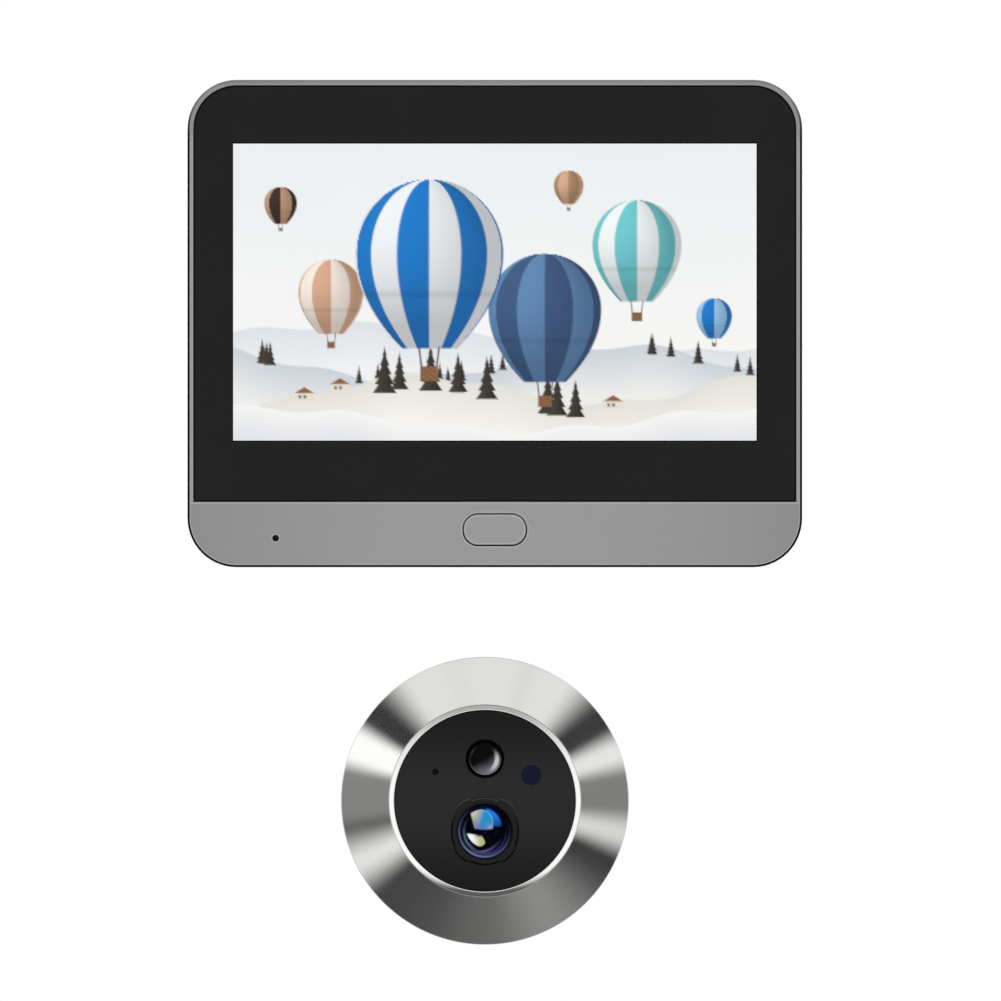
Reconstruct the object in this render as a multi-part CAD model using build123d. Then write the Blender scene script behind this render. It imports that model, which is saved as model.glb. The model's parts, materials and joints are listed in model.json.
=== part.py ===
from build123d import *
import os
from math import cos, radians, sin, sqrt

# Door camera in millimetres: an indoor monitor that hangs on a wall plate, and an outdoor
# camera whose threaded barrel passes through the door. X is to the right, Z is up, both
# fronts face -Y and the door's face is the plane y = 0. The origin is the centre of the
# barrel hole in the wall plate. Depths are y values, so a front is lower than a back.

# Display: the active area is that of a 4.3 inch panel, and the monitor is built round it
active_width = 95.04
active_height = 53.86
panel_side_margin = 5.23
panel_top_margin = 5.2
panel_bottom_margin = 8.14
panel_thickness = 2.9
panel_gap = 0.3
panel_bezel_step = 0.25
foam_thickness = 0.5
foam_window_margin = 0.9
tray_thickness = 0.5
tray_ear_margin = 0.8
tray_screw_x = 30.0
tray_screw_grip = 1.6
tray_window = (26.0, 22.0)
tray_window_x = 24.0
tray_window_corner = 3.0

# Monitor outline, from the panel outwards
ledge_side = 1.95
ledge_top = 5.39
ledge_bottom = 2.99
side_border = 1.05
top_border = 0.98
bar_height = 11.84
bar_wall = 1.6
bar_cavity_margin = 1.0
monitor_corner = 8.9
monitor_depth = 17.0
door_gap = 0.4
frame_depth = 6.0
frame_edge_round = 0.35
case_wall = 2.0
boss_root = 0.2
hole_floor = 0.4

# Cover glass
glass_thickness = 1.1
glass_setback = 0.05
glass_gap = 0.1
glass_corner = 7.8
glass_edge_bevel = 0.12
tape_thickness = 0.15
tape_inset = 0.35
ledge_thickness = 1.2

# Function button
button_width = 11.27
button_height = 5.5
button_corner = 2.6
button_gap = 0.25
button_rise = 6.81
button_proud = 0.1
button_travel = 0.4
button_flange = 0.7
button_flange_margin = 0.7
button_stem_radius = 1.4
button_stem_length = 0.55
button_edge_round = 0.22
touch_gap = 0.05
switch_width = 6.0
switch_height = 3.5
switch_thickness = 1.1
plunger_radius = 0.9
plunger_length = 0.45
pad_overlap = 0.3
pad_wall = 0.9
button_board_width = 22.0
button_board_margin = 0.75
button_board_thickness = 0.8
button_post_radius = 1.5
button_post_x = 8.9
button_screw_grip = 1.8

# Indoor microphone
sound_hole_radius = 0.6
indoor_mic_inset = 15.98
indoor_mic_rise = 5.28
mic_radius = 1.9
mic_thickness = 1.6
boot_wall = 1.1
boot_lid = 1.0
boot_rim = 0.4
boot_collar_wall = 0.8
boot_collar_height = 2.0

# Main board and what it carries
board_side_inset = 1.75
board_top_inset = 3.94
board_bottom_inset = 3.26
board_corner = 1.5
board_thickness = 1.2
standoff_height = 0.8
standoff_radius = 2.2
board_hole_side = 5.0
board_hole_top = 3.5
board_hole_bottom = 4.5
can_corner = 0.5
shield_size = (24.0, 13.0, 2.2)
shield_x = 10.0
shield_step = 0.4
well_row_gap = 1.6
wifi_size = (14.0, 12.0, 1.8)
wifi_x = -14.5
wifi_base = 0.6
wifi_can_margin = 1.0
antenna_size = (38.0, 4.0, 0.4)
antenna_setback = 1.4
camera_socket_size = (12.0, 5.6, 3.75)
socket_wall = 0.8
socket_floor = 1.0
usb_width = 8.94
usb_height = 3.16
usb_length = 7.3
usb_shell = 0.3
usb_reach = 0.8
usb_tongue = 0.7
usb_tongue_margin = 1.2
usb_tongue_setback = 0.9
usb_z = 16.0
card_size = (15.0, 11.0, 1.0)
card_notch = (5.0, 1.4)
card_groove = (0.8, 0.2)
card_setback = 1.0
card_z = -2.0
card_socket_size = (14.6, 14.0, 1.7)
card_socket_setback = 0.9
card_socket_wall = 0.8
card_slot_gap = 0.2
card_scoop_height = 5.0
card_scoop_radius = 3.2
card_scoop_bite = 1.0
slide_switch_size = (4.0, 8.6, 3.5)
slide_switch_z = -20.0
slide_switch_gap = 0.4
track_depth = 0.8
knob_side = 1.5
knob_travel = 2.0
knob_setback = 0.15
knob_slot_gap = 0.3
port_gap = 0.25
ribbon_width = 22.0
ribbon_thickness = 0.2
ribbon_bend = 1.6
ribbon_straight = 0.7
ribbon_socket_size = (25.0, 3.6, 1.4)
ribbon_socket_rise = 7.0

# Battery and loudspeaker
battery_height = 62.0
battery_depth = 6.4
battery_gap = 1.475
battery_round = 2.6
battery_pad = 0.4
battery_pad_inset = 3.0
speaker_size = (30.0, 6.8, 5.2)
speaker_x = 19.0
speaker_gap = 0.3
speaker_rim = 1.0
speaker_mouth = 0.8
grille_slots = 9
grille_pitch = 2.6
grille_slot_width = 1.2
grille_slot_length = 4.6

# Rear housing
housing_inset = 0.6
housing_back_wall = 1.8
housing_back_round = 2.5
housing_lip_depth = 0.9
housing_lip_wall = 0.8
housing_lip_length = 40.0
housing_draft = 1.5
boss_trim = 1.0
housing_lip_gap = 0.15
recess_wall = 1.6
well_wall = 1.4
well_corner = 2.0
well_depth = 6.8

# Screws
small_screw_radius = 0.8
small_head_radius = 1.7
small_head_height = 0.9
case_screw_radius = 1.0
case_head_radius = 1.9
case_head_height = 1.1
screw_gap = 0.05
boss_wall = 1.15
top_boss_inset = (11.75, 4.0)
low_boss_inset = (6.9, 7.3)
case_head_depth = 2.6
case_screw_grip = 2.2
head_gap = 0.2
hole_gap = 0.1

# Wall plate
plate_width = 54.0
plate_height = 58.0
plate_thickness = 1.5
plate_corner = 4.0
barrel_hole_radius = 7.4
plate_screw_radius = 2.1
plate_screw_spacing = (20.0, 45.0)
hook_width = 7.0
hook_side_inset = 5.5
hook_top_inset = 9.0
hook_pitch = 32.0
hook_window_gap = 0.5
hook_slot_gap = 0.4
hook_overlap = 4.0
hook_play = 0.35
hook_corner = 0.7
lift_travel = 4.5
lift_margin = 0.5
plate_side_gap = 0.6
plate_front_gap = 0.3

# Outdoor camera
camera_x = -1.8
camera_drop = 42.37
rose_radius = 26.1
rose_rim = 4.5
cone_height = 6.0
cone_top_radius = 17.5
lip_flat = 0.3
window_radius = 16.4
lip_bevel_depth = 0.75
window_thickness = 1.2
window_gap = 0.05
window_seal_thickness = 0.3
window_shelf = 1.2
shelf_thickness = 1.0
ring_wall = 2.0
door_seal_thickness = 0.8
door_seal_inset = 0.7
cup_floor = 2.4
cup_gap = 0.1
cup_screw_ring = 21.0
cup_screw_grip = 3.0
cup_boss_start = 1.0
rim_step = 0.5
camera_board_radius = 18.4
camera_board_thickness = 1.0
camera_post_height = 1.2
camera_post_radius = 1.8
camera_pin_radius = 0.9
camera_pin_inset = 0.5
lead_socket_size = (8.0, 4.4, 2.4)
camera_post_ring = 16.0

# Lens
lens_drop = 5.53
lens_opening_radius = 4.95
lens_flange_radius = 6.1
lens_lobe_radius = 6.45
lens_lobe_angle = 26.0
lens_flange_thickness = 0.9
lens_setback = 0.1
lens_tube_radius = 5.6
front_element_radius = 4.85
front_element_curve = 12.0
front_element_edge = 0.65
rear_element_radius = 3.85
rear_element_curve = 9.0
rear_element_edge = 0.25
element_gap = 0.05
lens_stop_wall = 0.8
holder_side = 14.0
holder_height = 3.0
holder_corner = 1.5
tube_seat_depth = 1.8
sensor_chip_size = (6.4, 5.2, 0.7)
sensor_cavity = 7.4

# Motion sensor, light sensor and outdoor microphone
dome_rise = 7.62
dome_hole_radius = 3.53
dome_radius = 2.93
dome_height = 1.1
dome_wall = 0.5
dome_setback = 0.2
dome_collar = 0.8
dome_floor = 0.1
bezel_setback = 0.15
motion_can_radius = 2.6
motion_can_height = 2.2
motion_flange = 0.4
light_place = (8.4, 4.66)
light_radius = 1.75
light_chip_size = (2.0, 2.0, 0.9)
outdoor_mic_place = (-9.0, 5.24)
outdoor_mic_thickness = 1.5
outdoor_boot_wall = 0.5

# Barrel, washer and nut
barrel_radius = 7.0
barrel_bore = 5.3
barrel_length = 48.0
barrel_flange_radius = 12.5
barrel_flange = 1.4
barrel_chamfer = 0.6
barrel_seal_gap = 0.6
barrel_screw_floor = 0.2
barrel_screw_ring = 9.8
grommet_length = 4.0
grommet_lid = 0.8
cord_hole_radius = 1.7
clamped_thickness = 36.0
washer_radius = 14.0
washer_thickness = 1.2
washer_gap = 0.1
nut_radius = 10.5
nut_flange_radius = 12.0
nut_flange = 1.2
nut_height = 4.2
nut_gap = 0.05
nut_flutes = 12
nut_flute_radius = 1.2
nut_flute_bite = 0.72
nut_chamfer = 0.5

# Depths of the monitor's layers, from the front
front_y = -(monitor_depth + door_gap)
split_y = front_y + frame_depth
glass_y = front_y + glass_setback
glass_back_y = glass_y + glass_thickness
ledge_y = glass_back_y + tape_thickness
ledge_back_y = ledge_y + ledge_thickness
panel_y = glass_back_y + foam_thickness
panel_back_y = panel_y + panel_thickness
tray_back_y = panel_back_y + tray_thickness
board_y = tray_back_y + standoff_height
board_back_y = board_y + board_thickness
bar_back_y = front_y + bar_wall
housing_floor_y = -(door_gap + housing_back_wall)
recess_y = -(plate_thickness + plate_front_gap)
recess_floor_y = recess_y - recess_wall
well_y = -(door_gap + well_depth)
well_floor_y = well_y - well_wall

# Places on the monitor's face, whose middle is at x = 0, z = 0
panel_width = active_width + 2 * panel_side_margin
panel_height = active_height + panel_top_margin + panel_bottom_margin
pocket_width = panel_width + 2 * ledge_side
pocket_height = panel_height + ledge_top + ledge_bottom
monitor_width = pocket_width + 2 * side_border
monitor_height = pocket_height + top_border + bar_height
pocket_z = (bar_height - top_border) / 2
pocket_bottom = pocket_z - pocket_height / 2
panel_top = pocket_z + pocket_height / 2 - ledge_top
panel_bottom = panel_top - panel_height
panel_z = (panel_top + panel_bottom) / 2
active_z = panel_top - panel_top_margin - active_height / 2
bar_cavity_top = pocket_bottom - bar_cavity_margin
button_z = button_rise - monitor_height / 2
indoor_mic_x = indoor_mic_inset - monitor_width / 2
indoor_mic_z = indoor_mic_rise - monitor_height / 2

# Places inside the case
housing_width = monitor_width - 2 * housing_inset
housing_height = monitor_height - 2 * housing_inset
housing_corner = monitor_corner - housing_inset
housing_side_x = housing_width / 2
inner_side_x = housing_side_x - case_wall
inner_bottom_z = case_wall - housing_height / 2
board_width = panel_width - 2 * board_side_inset
board_top = panel_top - board_top_inset
board_bottom = panel_bottom + board_bottom_inset
board_z = (board_top + board_bottom) / 2
well_row_z = washer_radius + lift_margin + well_wall + well_row_gap + shield_size[1] / 2
ribbon_socket_z = board_bottom + ribbon_socket_rise
recess_side_x = plate_width / 2 + plate_side_gap + recess_wall
battery_width = inner_side_x - recess_side_x - 2 * battery_gap
battery_x = -(inner_side_x + recess_side_x) / 2
battery_z = (low_boss_inset[1] - top_boss_inset[1]) / 2
battery_back_y = housing_floor_y - battery_pad
speaker_y = recess_floor_y - speaker_gap - speaker_size[1] / 2
hook_x = plate_width / 2 - hook_side_inset
hook_top = plate_height / 2 - hook_top_inset
hook_tops = (hook_top, hook_top - hook_pitch)
camera_z = -(monitor_height / 2 + camera_drop)

# Depths of the outdoor camera's layers
rose_back_y = -door_seal_thickness
cone_y = rose_back_y - rose_rim
lip_y = cone_y - cone_height
window_y = lip_y + lip_bevel_depth
window_back_y = window_y + window_thickness
shelf_y = window_back_y + window_seal_thickness
shelf_back_y = shelf_y + shelf_thickness
cup_front_y = rose_back_y - cup_floor
barrel_back_y = rose_back_y - barrel_flange
camera_board_back_y = cup_front_y - camera_post_height
camera_board_y = camera_board_back_y - camera_board_thickness
lens_y = window_y + lens_setback
holder_y = camera_board_y - holder_height
chip_y = camera_board_y - sensor_chip_size[2]
washer_back_y = clamped_thickness + washer_thickness
nut_back_y = washer_back_y + nut_height


def slab(face, y_front, y_back):
    """Give a face drawn as (x, z) its thickness, from y_front back to y_back."""
    plane = Plane(origin=(0, y_back, 0), x_dir=(1, 0, 0), z_dir=(0, -1, 0))
    return extrude(plane * face, amount=y_back - y_front)


def block(width, height, y_front, y_back, x=0.0, z=0.0, corner=0.0):
    """A rectangular piece, with rounded corners where corner is given."""
    face = RectangleRounded(width, height, corner) if corner else Rectangle(width, height)
    return slab(Pos(x, z) * face, y_front, y_back)


def disc(radius, y_front, y_back, x=0.0, z=0.0):
    """A round piece about a line along Y."""
    return slab(Pos(x, z) * Circle(radius), y_front, y_back)


def ring(outer, inner, y_front, y_back, x=0.0, z=0.0):
    """A round piece with a hole through it."""
    return slab(Pos(x, z) * (Circle(outer) - Circle(inner)), y_front, y_back)


def turned(points, x=0.0, z=0.0):
    """A profile of (radius, y) points turned about a line along Y."""
    return Pos(x, 0, z) * revolve(make_face(Polyline(*points, close=True)), Axis.Y)


def together(pieces):
    """Join pieces into one shape, or keep them as a group where they stand apart."""
    pieces = list(pieces)
    return pieces[0] + pieces[1:] if len(pieces) > 1 else pieces[0]


def screw(x, z, head_y, radius, head_radius, head_height, length):
    """A pan head screw that points to the front, with its head behind head_y."""
    head = disc(head_radius, head_y, head_y + head_height, x, z)
    head = fillet(head.faces().sort_by(Axis.Y)[-1].edges(), head_height * 0.4)
    drive = block(head_radius, head_radius * 0.28, head_y + head_height * 0.5, head_y + head_height, x, z)
    cross = block(head_radius * 0.28, head_radius, head_y + head_height * 0.5, head_y + head_height, x, z)
    return head + disc(radius, head_y - length, head_y, x, z) - drive - cross


def frame_inside(y_front, y_back):
    """The hollow inside the case wall."""
    face = RectangleRounded(monitor_width - 2 * case_wall, monitor_height - 2 * case_wall,
                            monitor_corner - case_wall)
    return slab(face, y_front, y_back)


def glass_outline(gap):
    """The cover glass: rounded upper corners and a straight lower edge."""
    face = Rectangle(pocket_width - 2 * gap, pocket_height - 2 * gap)
    upper = face.vertices().group_by(Axis.Y)[-1]
    return Pos(0, pocket_z) * fillet(upper, glass_corner - gap)


def panel_opening(gap):
    """The opening that the display panel stands in."""
    return Pos(0, panel_z) * Rectangle(panel_width + 2 * gap, panel_height + 2 * gap)


def case_screw_points():
    """Where the four screws join the rear housing to the front frame."""
    points = []
    for side in (-1, 1):
        top_x = side * (monitor_width / 2 - top_boss_inset[0])
        low_x = side * (monitor_width / 2 - low_boss_inset[0])
        points.append((top_x, monitor_height / 2 - top_boss_inset[1]))
        points.append((low_x, low_boss_inset[1] - monitor_height / 2))
    return points


def tray_screw_points():
    """Where the display tray's ears are screwed, just clear of the panel."""
    rise = small_screw_radius + screw_gap + boss_wall + panel_gap / 2
    return [(side * tray_screw_x, z) for side in (-1, 1) for z in (panel_top + rise, panel_bottom - rise)]


def board_screw_points():
    """The main board's four fixing holes."""
    x = board_width / 2 - board_hole_side
    heights = (board_top - board_hole_top, board_bottom + board_hole_bottom)
    return [(side * x, z) for side in (-1, 1) for z in heights]


def button_face(margin):
    """The button's outline, grown by a margin."""
    face = RectangleRounded(button_width + 2 * margin, button_height + 2 * margin, button_corner + margin)
    return Pos(0, button_z) * face


def make_front_frame():
    """The metal front: a thin border, the lower bar, the glass pocket and the bosses."""
    frame = slab(RectangleRounded(monitor_width, monitor_height, monitor_corner), front_y, split_y)
    frame = fillet(frame.faces().sort_by(Axis.Y)[0].edges(), frame_edge_round)
    frame -= slab(glass_outline(0), front_y - 1, ledge_y)
    frame -= slab(panel_opening(panel_gap), ledge_y - 1, ledge_back_y + 1)
    frame -= frame_inside(ledge_back_y, split_y + 1)
    bar_cavity = block(monitor_width, monitor_height, bar_back_y, ledge_back_y + 1,
                       z=bar_cavity_top - monitor_height / 2)
    frame -= bar_cavity & frame_inside(bar_back_y, ledge_back_y + 1)
    for x, z in case_screw_points():
        boss = disc(case_screw_radius + boss_wall, bar_back_y - boss_root, split_y, x, z)
        frame += boss & frame_inside(front_y, split_y)
        frame -= disc(case_screw_radius + screw_gap, ledge_back_y, split_y + 1, x, z)
    for x, z in tray_screw_points():
        boss = disc(small_screw_radius + screw_gap + boss_wall, ledge_y + boss_root, panel_back_y, x, z)
        frame += boss & frame_inside(front_y, split_y)
        frame -= disc(small_screw_radius + screw_gap, ledge_y + 2 * hole_floor, panel_back_y + 1, x, z)
    frame -= slab(button_face(button_gap), front_y - 1, bar_back_y + 1)
    for x in (-button_post_x, button_post_x):
        frame += disc(button_post_radius, bar_back_y - boss_root, button_board_y(), x, button_z)
        frame -= disc(small_screw_radius, bar_back_y + hole_floor, button_board_y() + 1, x, button_z)
    collar_bore = boot_radius() + screw_gap
    collar = ring(collar_bore + boot_collar_wall, collar_bore, bar_back_y - boss_root,
                  bar_back_y + boot_collar_height, indoor_mic_x, indoor_mic_z)
    frame += collar & frame_inside(front_y, split_y)
    frame -= disc(sound_hole_radius, front_y - 1, bar_back_y + 1, indoor_mic_x, indoor_mic_z)
    return frame


def make_screen_glass():
    """The flat cover glass with eased edges."""
    glass = slab(glass_outline(glass_gap), glass_y, glass_back_y)
    return chamfer(glass.faces().sort_by(Axis.Y)[0].edges(), glass_edge_bevel)


def make_glass_tape():
    """The tape frame that holds the glass on its ledge."""
    tape = slab(glass_outline(tape_inset), glass_back_y, ledge_y)
    return tape - slab(panel_opening(panel_gap), glass_back_y - 1, ledge_y + 1)


def make_screen_foam():
    """The foam frame between the glass and the display."""
    window = Rectangle(active_width + 2 * foam_window_margin, active_height + 2 * foam_window_margin)
    return slab(panel_opening(0) - Pos(0, active_z) * window, glass_back_y, panel_y)


def make_lcd_panel():
    """The display module, its sheet metal rim standing proud of the picture."""
    panel = slab(panel_opening(0), panel_y, panel_back_y)
    step = block(active_width + 2 * foam_window_margin, active_height + 2 * foam_window_margin,
                 panel_y - 1, panel_y + panel_bezel_step, z=active_z)
    return panel - step


def make_lcd_tray():
    """The pressed tray behind the display, with four ears and four board standoffs."""
    tray = slab(panel_opening(0), panel_back_y, tray_back_y)
    ear_width = 2 * (small_head_radius + tray_ear_margin)
    for x, z in tray_screw_points():
        side = 1 if z > panel_z else -1
        edge = panel_top if side > 0 else panel_bottom
        reach = abs(z - edge) + small_head_radius - hole_floor
        root = tray_ear_margin
        tray += block(ear_width, reach + root, panel_back_y, tray_back_y, x, edge + side * (reach - root) / 2)
        tray -= disc(small_screw_radius + head_gap, panel_back_y - 1, tray_back_y + 1, x, z)
    for side in (-1, 1):
        tray -= block(tray_window[0], tray_window[1], panel_back_y - 1, tray_back_y + 1,
                      side * tray_window_x, panel_z, tray_window_corner)
    for x, z in board_screw_points():
        tray += disc(standoff_radius, tray_back_y - boss_root, board_y, x, z)
        tray -= disc(small_screw_radius + screw_gap, panel_back_y - 1, board_y + 1, x, z)
    return tray


def make_tray_screws():
    """Four screws through the tray's ears."""
    return together(screw(x, z, tray_back_y, small_screw_radius, small_head_radius, small_head_height,
                          tray_thickness + tray_screw_grip) for x, z in tray_screw_points())


def make_main_board():
    """The main circuit board."""
    board = block(board_width, board_top - board_bottom, board_y, board_back_y, 0, board_z, board_corner)
    for x, z in board_screw_points():
        board -= disc(small_screw_radius + hole_gap, board_y - 1, board_back_y + 1, x, z)
    return board


def make_board_screws():
    """Four screws through the main board into the standoffs."""
    return together(screw(x, z, board_back_y, small_screw_radius, small_head_radius, small_head_height,
                          board_thickness + standoff_height) for x, z in board_screw_points())


def on_board(size, x, z, corner=0.0):
    """A flat part soldered on the back of the main board."""
    return block(size[0], size[1], board_back_y, board_back_y + size[2], x, z, corner)


def make_processor_shield():
    """The pressed can over the processor, with a raised field."""
    can = on_board(shield_size, shield_x, well_row_z, can_corner)
    return chamfer(can.faces().sort_by(Axis.Y)[-1].edges(), shield_step)


def make_wifi_module():
    """The radio module: a small board with its own can."""
    width, height, depth = wifi_size
    base = on_board((width, height, wifi_base), wifi_x, well_row_z)
    can = block(width - 2 * wifi_can_margin, height - 3 * wifi_can_margin, board_back_y + wifi_base,
                board_back_y + depth, wifi_x, well_row_z - wifi_can_margin / 2, can_corner)
    return base + can


def make_wifi_antenna():
    """The strip antenna on the inside of the top wall."""
    width, depth, thickness = antenna_size
    front = split_y + antenna_setback
    return block(width, thickness, front, front + depth, z=housing_height / 2 - case_wall - thickness / 2)


def make_camera_socket():
    """The socket that the outdoor camera's lead plugs into, at the bottom of the well."""
    width, height, depth = camera_socket_size
    socket = on_board(camera_socket_size, 0, 0)
    return socket - block(width - 2 * socket_wall, height - 2 * socket_wall, board_back_y + socket_floor,
                          board_back_y + depth + 1)


def make_usb_port():
    """The charging port: a rounded metal shell with its tongue."""
    mouth_x = inner_side_x + usb_reach
    centre_y = board_back_y + usb_height / 2
    plane = Plane(origin=(mouth_x, centre_y, usb_z), x_dir=(0, 0, 1), z_dir=(-1, 0, 0))
    round_end = usb_height * 0.48
    shell = extrude(plane * RectangleRounded(usb_width, usb_height, round_end), amount=usb_length)
    inside = RectangleRounded(usb_width - 2 * usb_shell, usb_height - 2 * usb_shell, round_end - usb_shell)
    shell -= extrude(plane * inside, amount=usb_length - usb_tongue_margin)
    tongue = plane.offset(usb_tongue_setback) * Rectangle(usb_width - 2 * usb_tongue_margin, usb_tongue)
    return shell + extrude(tongue, amount=usb_length - usb_tongue_setback - usb_tongue_margin / 2)


def make_card_socket():
    """The memory card socket: a low metal cover open towards the side wall."""
    length, width, height = card_socket_size
    centre_x = inner_side_x - card_socket_setback - length / 2
    socket = block(length, width, board_back_y, board_back_y + height, centre_x, card_z)
    half_slot = card_size[2] / 2 + card_slot_gap / 2
    slot = block(length, card_size[1] + 2 * card_slot_gap, card_middle_y() - half_slot,
                 card_middle_y() + half_slot, centre_x + card_socket_wall, card_z)
    return socket - slot


def card_middle_y():
    """The depth of the memory card's mid plane."""
    return board_back_y + card_socket_size[2] / 2


def make_memory_card():
    """The memory card, with its cut corner and finger groove."""
    length, width, thickness = card_size
    outer_x = housing_side_x - card_setback
    front = card_middle_y() - thickness / 2
    card = block(length, width, front, front + thickness, outer_x - length / 2, card_z, can_corner)
    card -= block(card_notch[0], card_notch[1], front - 1, front + thickness + 1, outer_x - length,
                  card_z + width / 2)
    groove_width, groove_depth = card_groove
    return card - block(groove_width, width - 2 * card_notch[1], front - 1, front + groove_depth,
                        outer_x - groove_width, card_z)


def make_power_switch():
    """The slide switch's body, with a track on its outer face."""
    length, width, height = slide_switch_size
    outer_x = inner_side_x - slide_switch_gap
    body = block(length, width, board_back_y, board_back_y + height, outer_x - length / 2, slide_switch_z)
    track = block(2 * track_depth, knob_side + knob_travel + 4 * screw_gap,
                  knob_middle_y() - knob_side / 2 - screw_gap,
                  knob_middle_y() + knob_side / 2 + screw_gap, outer_x, slide_switch_z + knob_travel / 2)
    return body - track


def knob_middle_y():
    """The depth of the slide switch's mid plane."""
    return board_back_y + slide_switch_size[2] / 2


def make_power_knob():
    """The switch's knob, reaching out through the slot in the side wall."""
    root_x = inner_side_x - slide_switch_gap - track_depth + touch_gap
    tip_x = housing_side_x - knob_setback
    knob = block(tip_x - root_x, knob_side, knob_middle_y() - knob_side / 2, knob_middle_y() + knob_side / 2,
                 (root_x + tip_x) / 2, slide_switch_z)
    return chamfer(knob.faces().sort_by(Axis.X)[-1].edges(), knob_side * 0.1)


def make_lcd_ribbon():
    """The flat ribbon that leaves the display's lower edge and turns back to the board."""
    start_y = panel_back_y - panel_thickness / 2
    end_y = board_back_y + ribbon_socket_size[2] / 2
    low_z = panel_bottom - ribbon_bend - ribbon_straight
    end_z = ribbon_socket_z - ribbon_socket_size[1] / 2
    path = FilletPolyline((start_y, panel_bottom), (start_y, low_z), (end_y, low_z), (end_y, end_z),
                          radius=ribbon_bend)
    return extrude(Plane.YZ * trace(path, ribbon_thickness), amount=ribbon_width / 2, both=True)


def make_ribbon_socket():
    """The ribbon's socket on the main board."""
    return on_board(ribbon_socket_size, 0, ribbon_socket_z)


def make_function_button():
    """The button: an oblong cap, a flange behind the bar and a stem to the switch."""
    flange_y = bar_back_y + touch_gap
    cap = slab(button_face(0), front_y - button_proud, flange_y)
    cap = fillet(cap.faces().sort_by(Axis.Y)[0].edges(), button_edge_round)
    flange = slab(button_face(button_flange_margin), flange_y, flange_y + button_flange)
    return cap + flange + disc(button_stem_radius, flange_y + button_flange, button_stem_y(), 0, button_z)


def button_stem_y():
    """The depth of the tip of the button's stem."""
    return bar_back_y + touch_gap + button_flange + button_stem_length


def button_board_y():
    """The depth of the front of the button's board."""
    return button_stem_y() + button_travel + touch_gap + plunger_length + switch_thickness


def make_button_switch():
    """The dome switch that the button presses."""
    body_y = button_board_y() - switch_thickness
    body = block(switch_width, switch_height, body_y, button_board_y(), z=button_z)
    return body + disc(plunger_radius, body_y - plunger_length, body_y, 0, button_z)


def make_button_pad():
    """The silicone frame that seals and cushions the button."""
    pad_y = bar_back_y + 2 * touch_gap + button_flange + button_travel
    width = button_width + 2 * pad_overlap
    height = button_height + 2 * pad_overlap
    outer = RectangleRounded(width, height, pad_wall + pad_overlap)
    inner = RectangleRounded(width - 2 * pad_wall, height - 2 * pad_wall, pad_overlap)
    return slab(Pos(0, button_z) * (outer - inner), pad_y, button_board_y())


def make_button_board():
    """The narrow board that carries the button's switch."""
    height = button_height + 2 * button_board_margin
    board = block(button_board_width, height, button_board_y(), button_board_y() + button_board_thickness,
                  z=button_z, corner=button_board_margin)
    for side in (-1, 1):
        board -= disc(small_screw_radius + hole_gap, button_board_y() - 1, button_board_y() + 2,
                      side * button_post_x, button_z)
    return board


def make_button_screws():
    """Two screws through the button's board."""
    head_y = button_board_y() + button_board_thickness
    return together(screw(side * button_post_x, button_z, head_y, small_screw_radius - screw_gap,
                          small_head_radius - head_gap, small_head_height,
                          button_board_thickness + button_screw_grip) for side in (-1, 1))


def boot_radius():
    """The outer radius of the indoor microphone's rubber boot."""
    return mic_radius + boot_wall


def make_microphone_boot():
    """The rubber cup that seals the microphone to the sound hole."""
    back_y = bar_back_y + boot_lid + mic_thickness + boot_rim
    boot = disc(boot_radius(), bar_back_y, back_y, indoor_mic_x, indoor_mic_z)
    boot -= disc(mic_radius + screw_gap, bar_back_y + boot_lid, back_y + 1, indoor_mic_x, indoor_mic_z)
    return boot - disc(sound_hole_radius, bar_back_y - 1, back_y, indoor_mic_x, indoor_mic_z)


def make_microphone():
    """The indoor microphone capsule."""
    mic_y = bar_back_y + boot_lid
    return disc(mic_radius, mic_y, mic_y + mic_thickness, indoor_mic_x, indoor_mic_z)


def make_battery_pack():
    """The flat rechargeable cell, with soft long edges."""
    pack = block(battery_width, battery_height, battery_back_y - battery_depth, battery_back_y,
                 battery_x, battery_z)
    return fillet(pack.edges().filter_by(Axis.Z), battery_round)


def make_battery_pad():
    """The foam pad between the cell and the housing."""
    return block(battery_width - 2 * battery_pad_inset, battery_height - 2 * battery_pad_inset,
                 battery_back_y, housing_floor_y, battery_x, battery_z)


def make_speaker():
    """The box loudspeaker, its diaphragm facing the grille in the bottom wall."""
    width, depth, height = speaker_size
    box = block(width, height, speaker_y - depth / 2, speaker_y + depth / 2, speaker_x,
                inner_bottom_z + height / 2)
    mouth = Plane(origin=(speaker_x, speaker_y, inner_bottom_z), x_dir=(1, 0, 0), z_dir=(0, 0, 1))
    opening = RectangleRounded(width - 4 * speaker_rim, depth - 2 * speaker_rim, speaker_rim)
    return box - extrude(mouth * opening, amount=speaker_mouth)


def housing_shell():
    """The moulded shell: drafted walls, a rounded back and a locating lip on each side."""
    mouth = Plane(origin=(0, split_y, 0), x_dir=(1, 0, 0), z_dir=(0, 1, 0))
    outline = RectangleRounded(housing_width, housing_height, housing_corner)
    shell = extrude(mouth * outline, amount=-door_gap - split_y, taper=housing_draft)
    shell = fillet(shell.faces().sort_by(Axis.Y)[-1].edges(), housing_back_round)
    hollow = RectangleRounded(housing_width - 2 * case_wall, housing_height - 2 * case_wall,
                              housing_corner - case_wall)
    shell -= slab(hollow, split_y - 1, housing_floor_y)
    for side in (-1, 1):
        lip_x = side * (monitor_width / 2 - case_wall - housing_lip_gap - housing_lip_wall / 2)
        shell += block(housing_lip_wall, housing_lip_length, split_y - housing_lip_depth,
                       split_y + housing_lip_depth, lip_x, board_z)
    return shell


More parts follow.
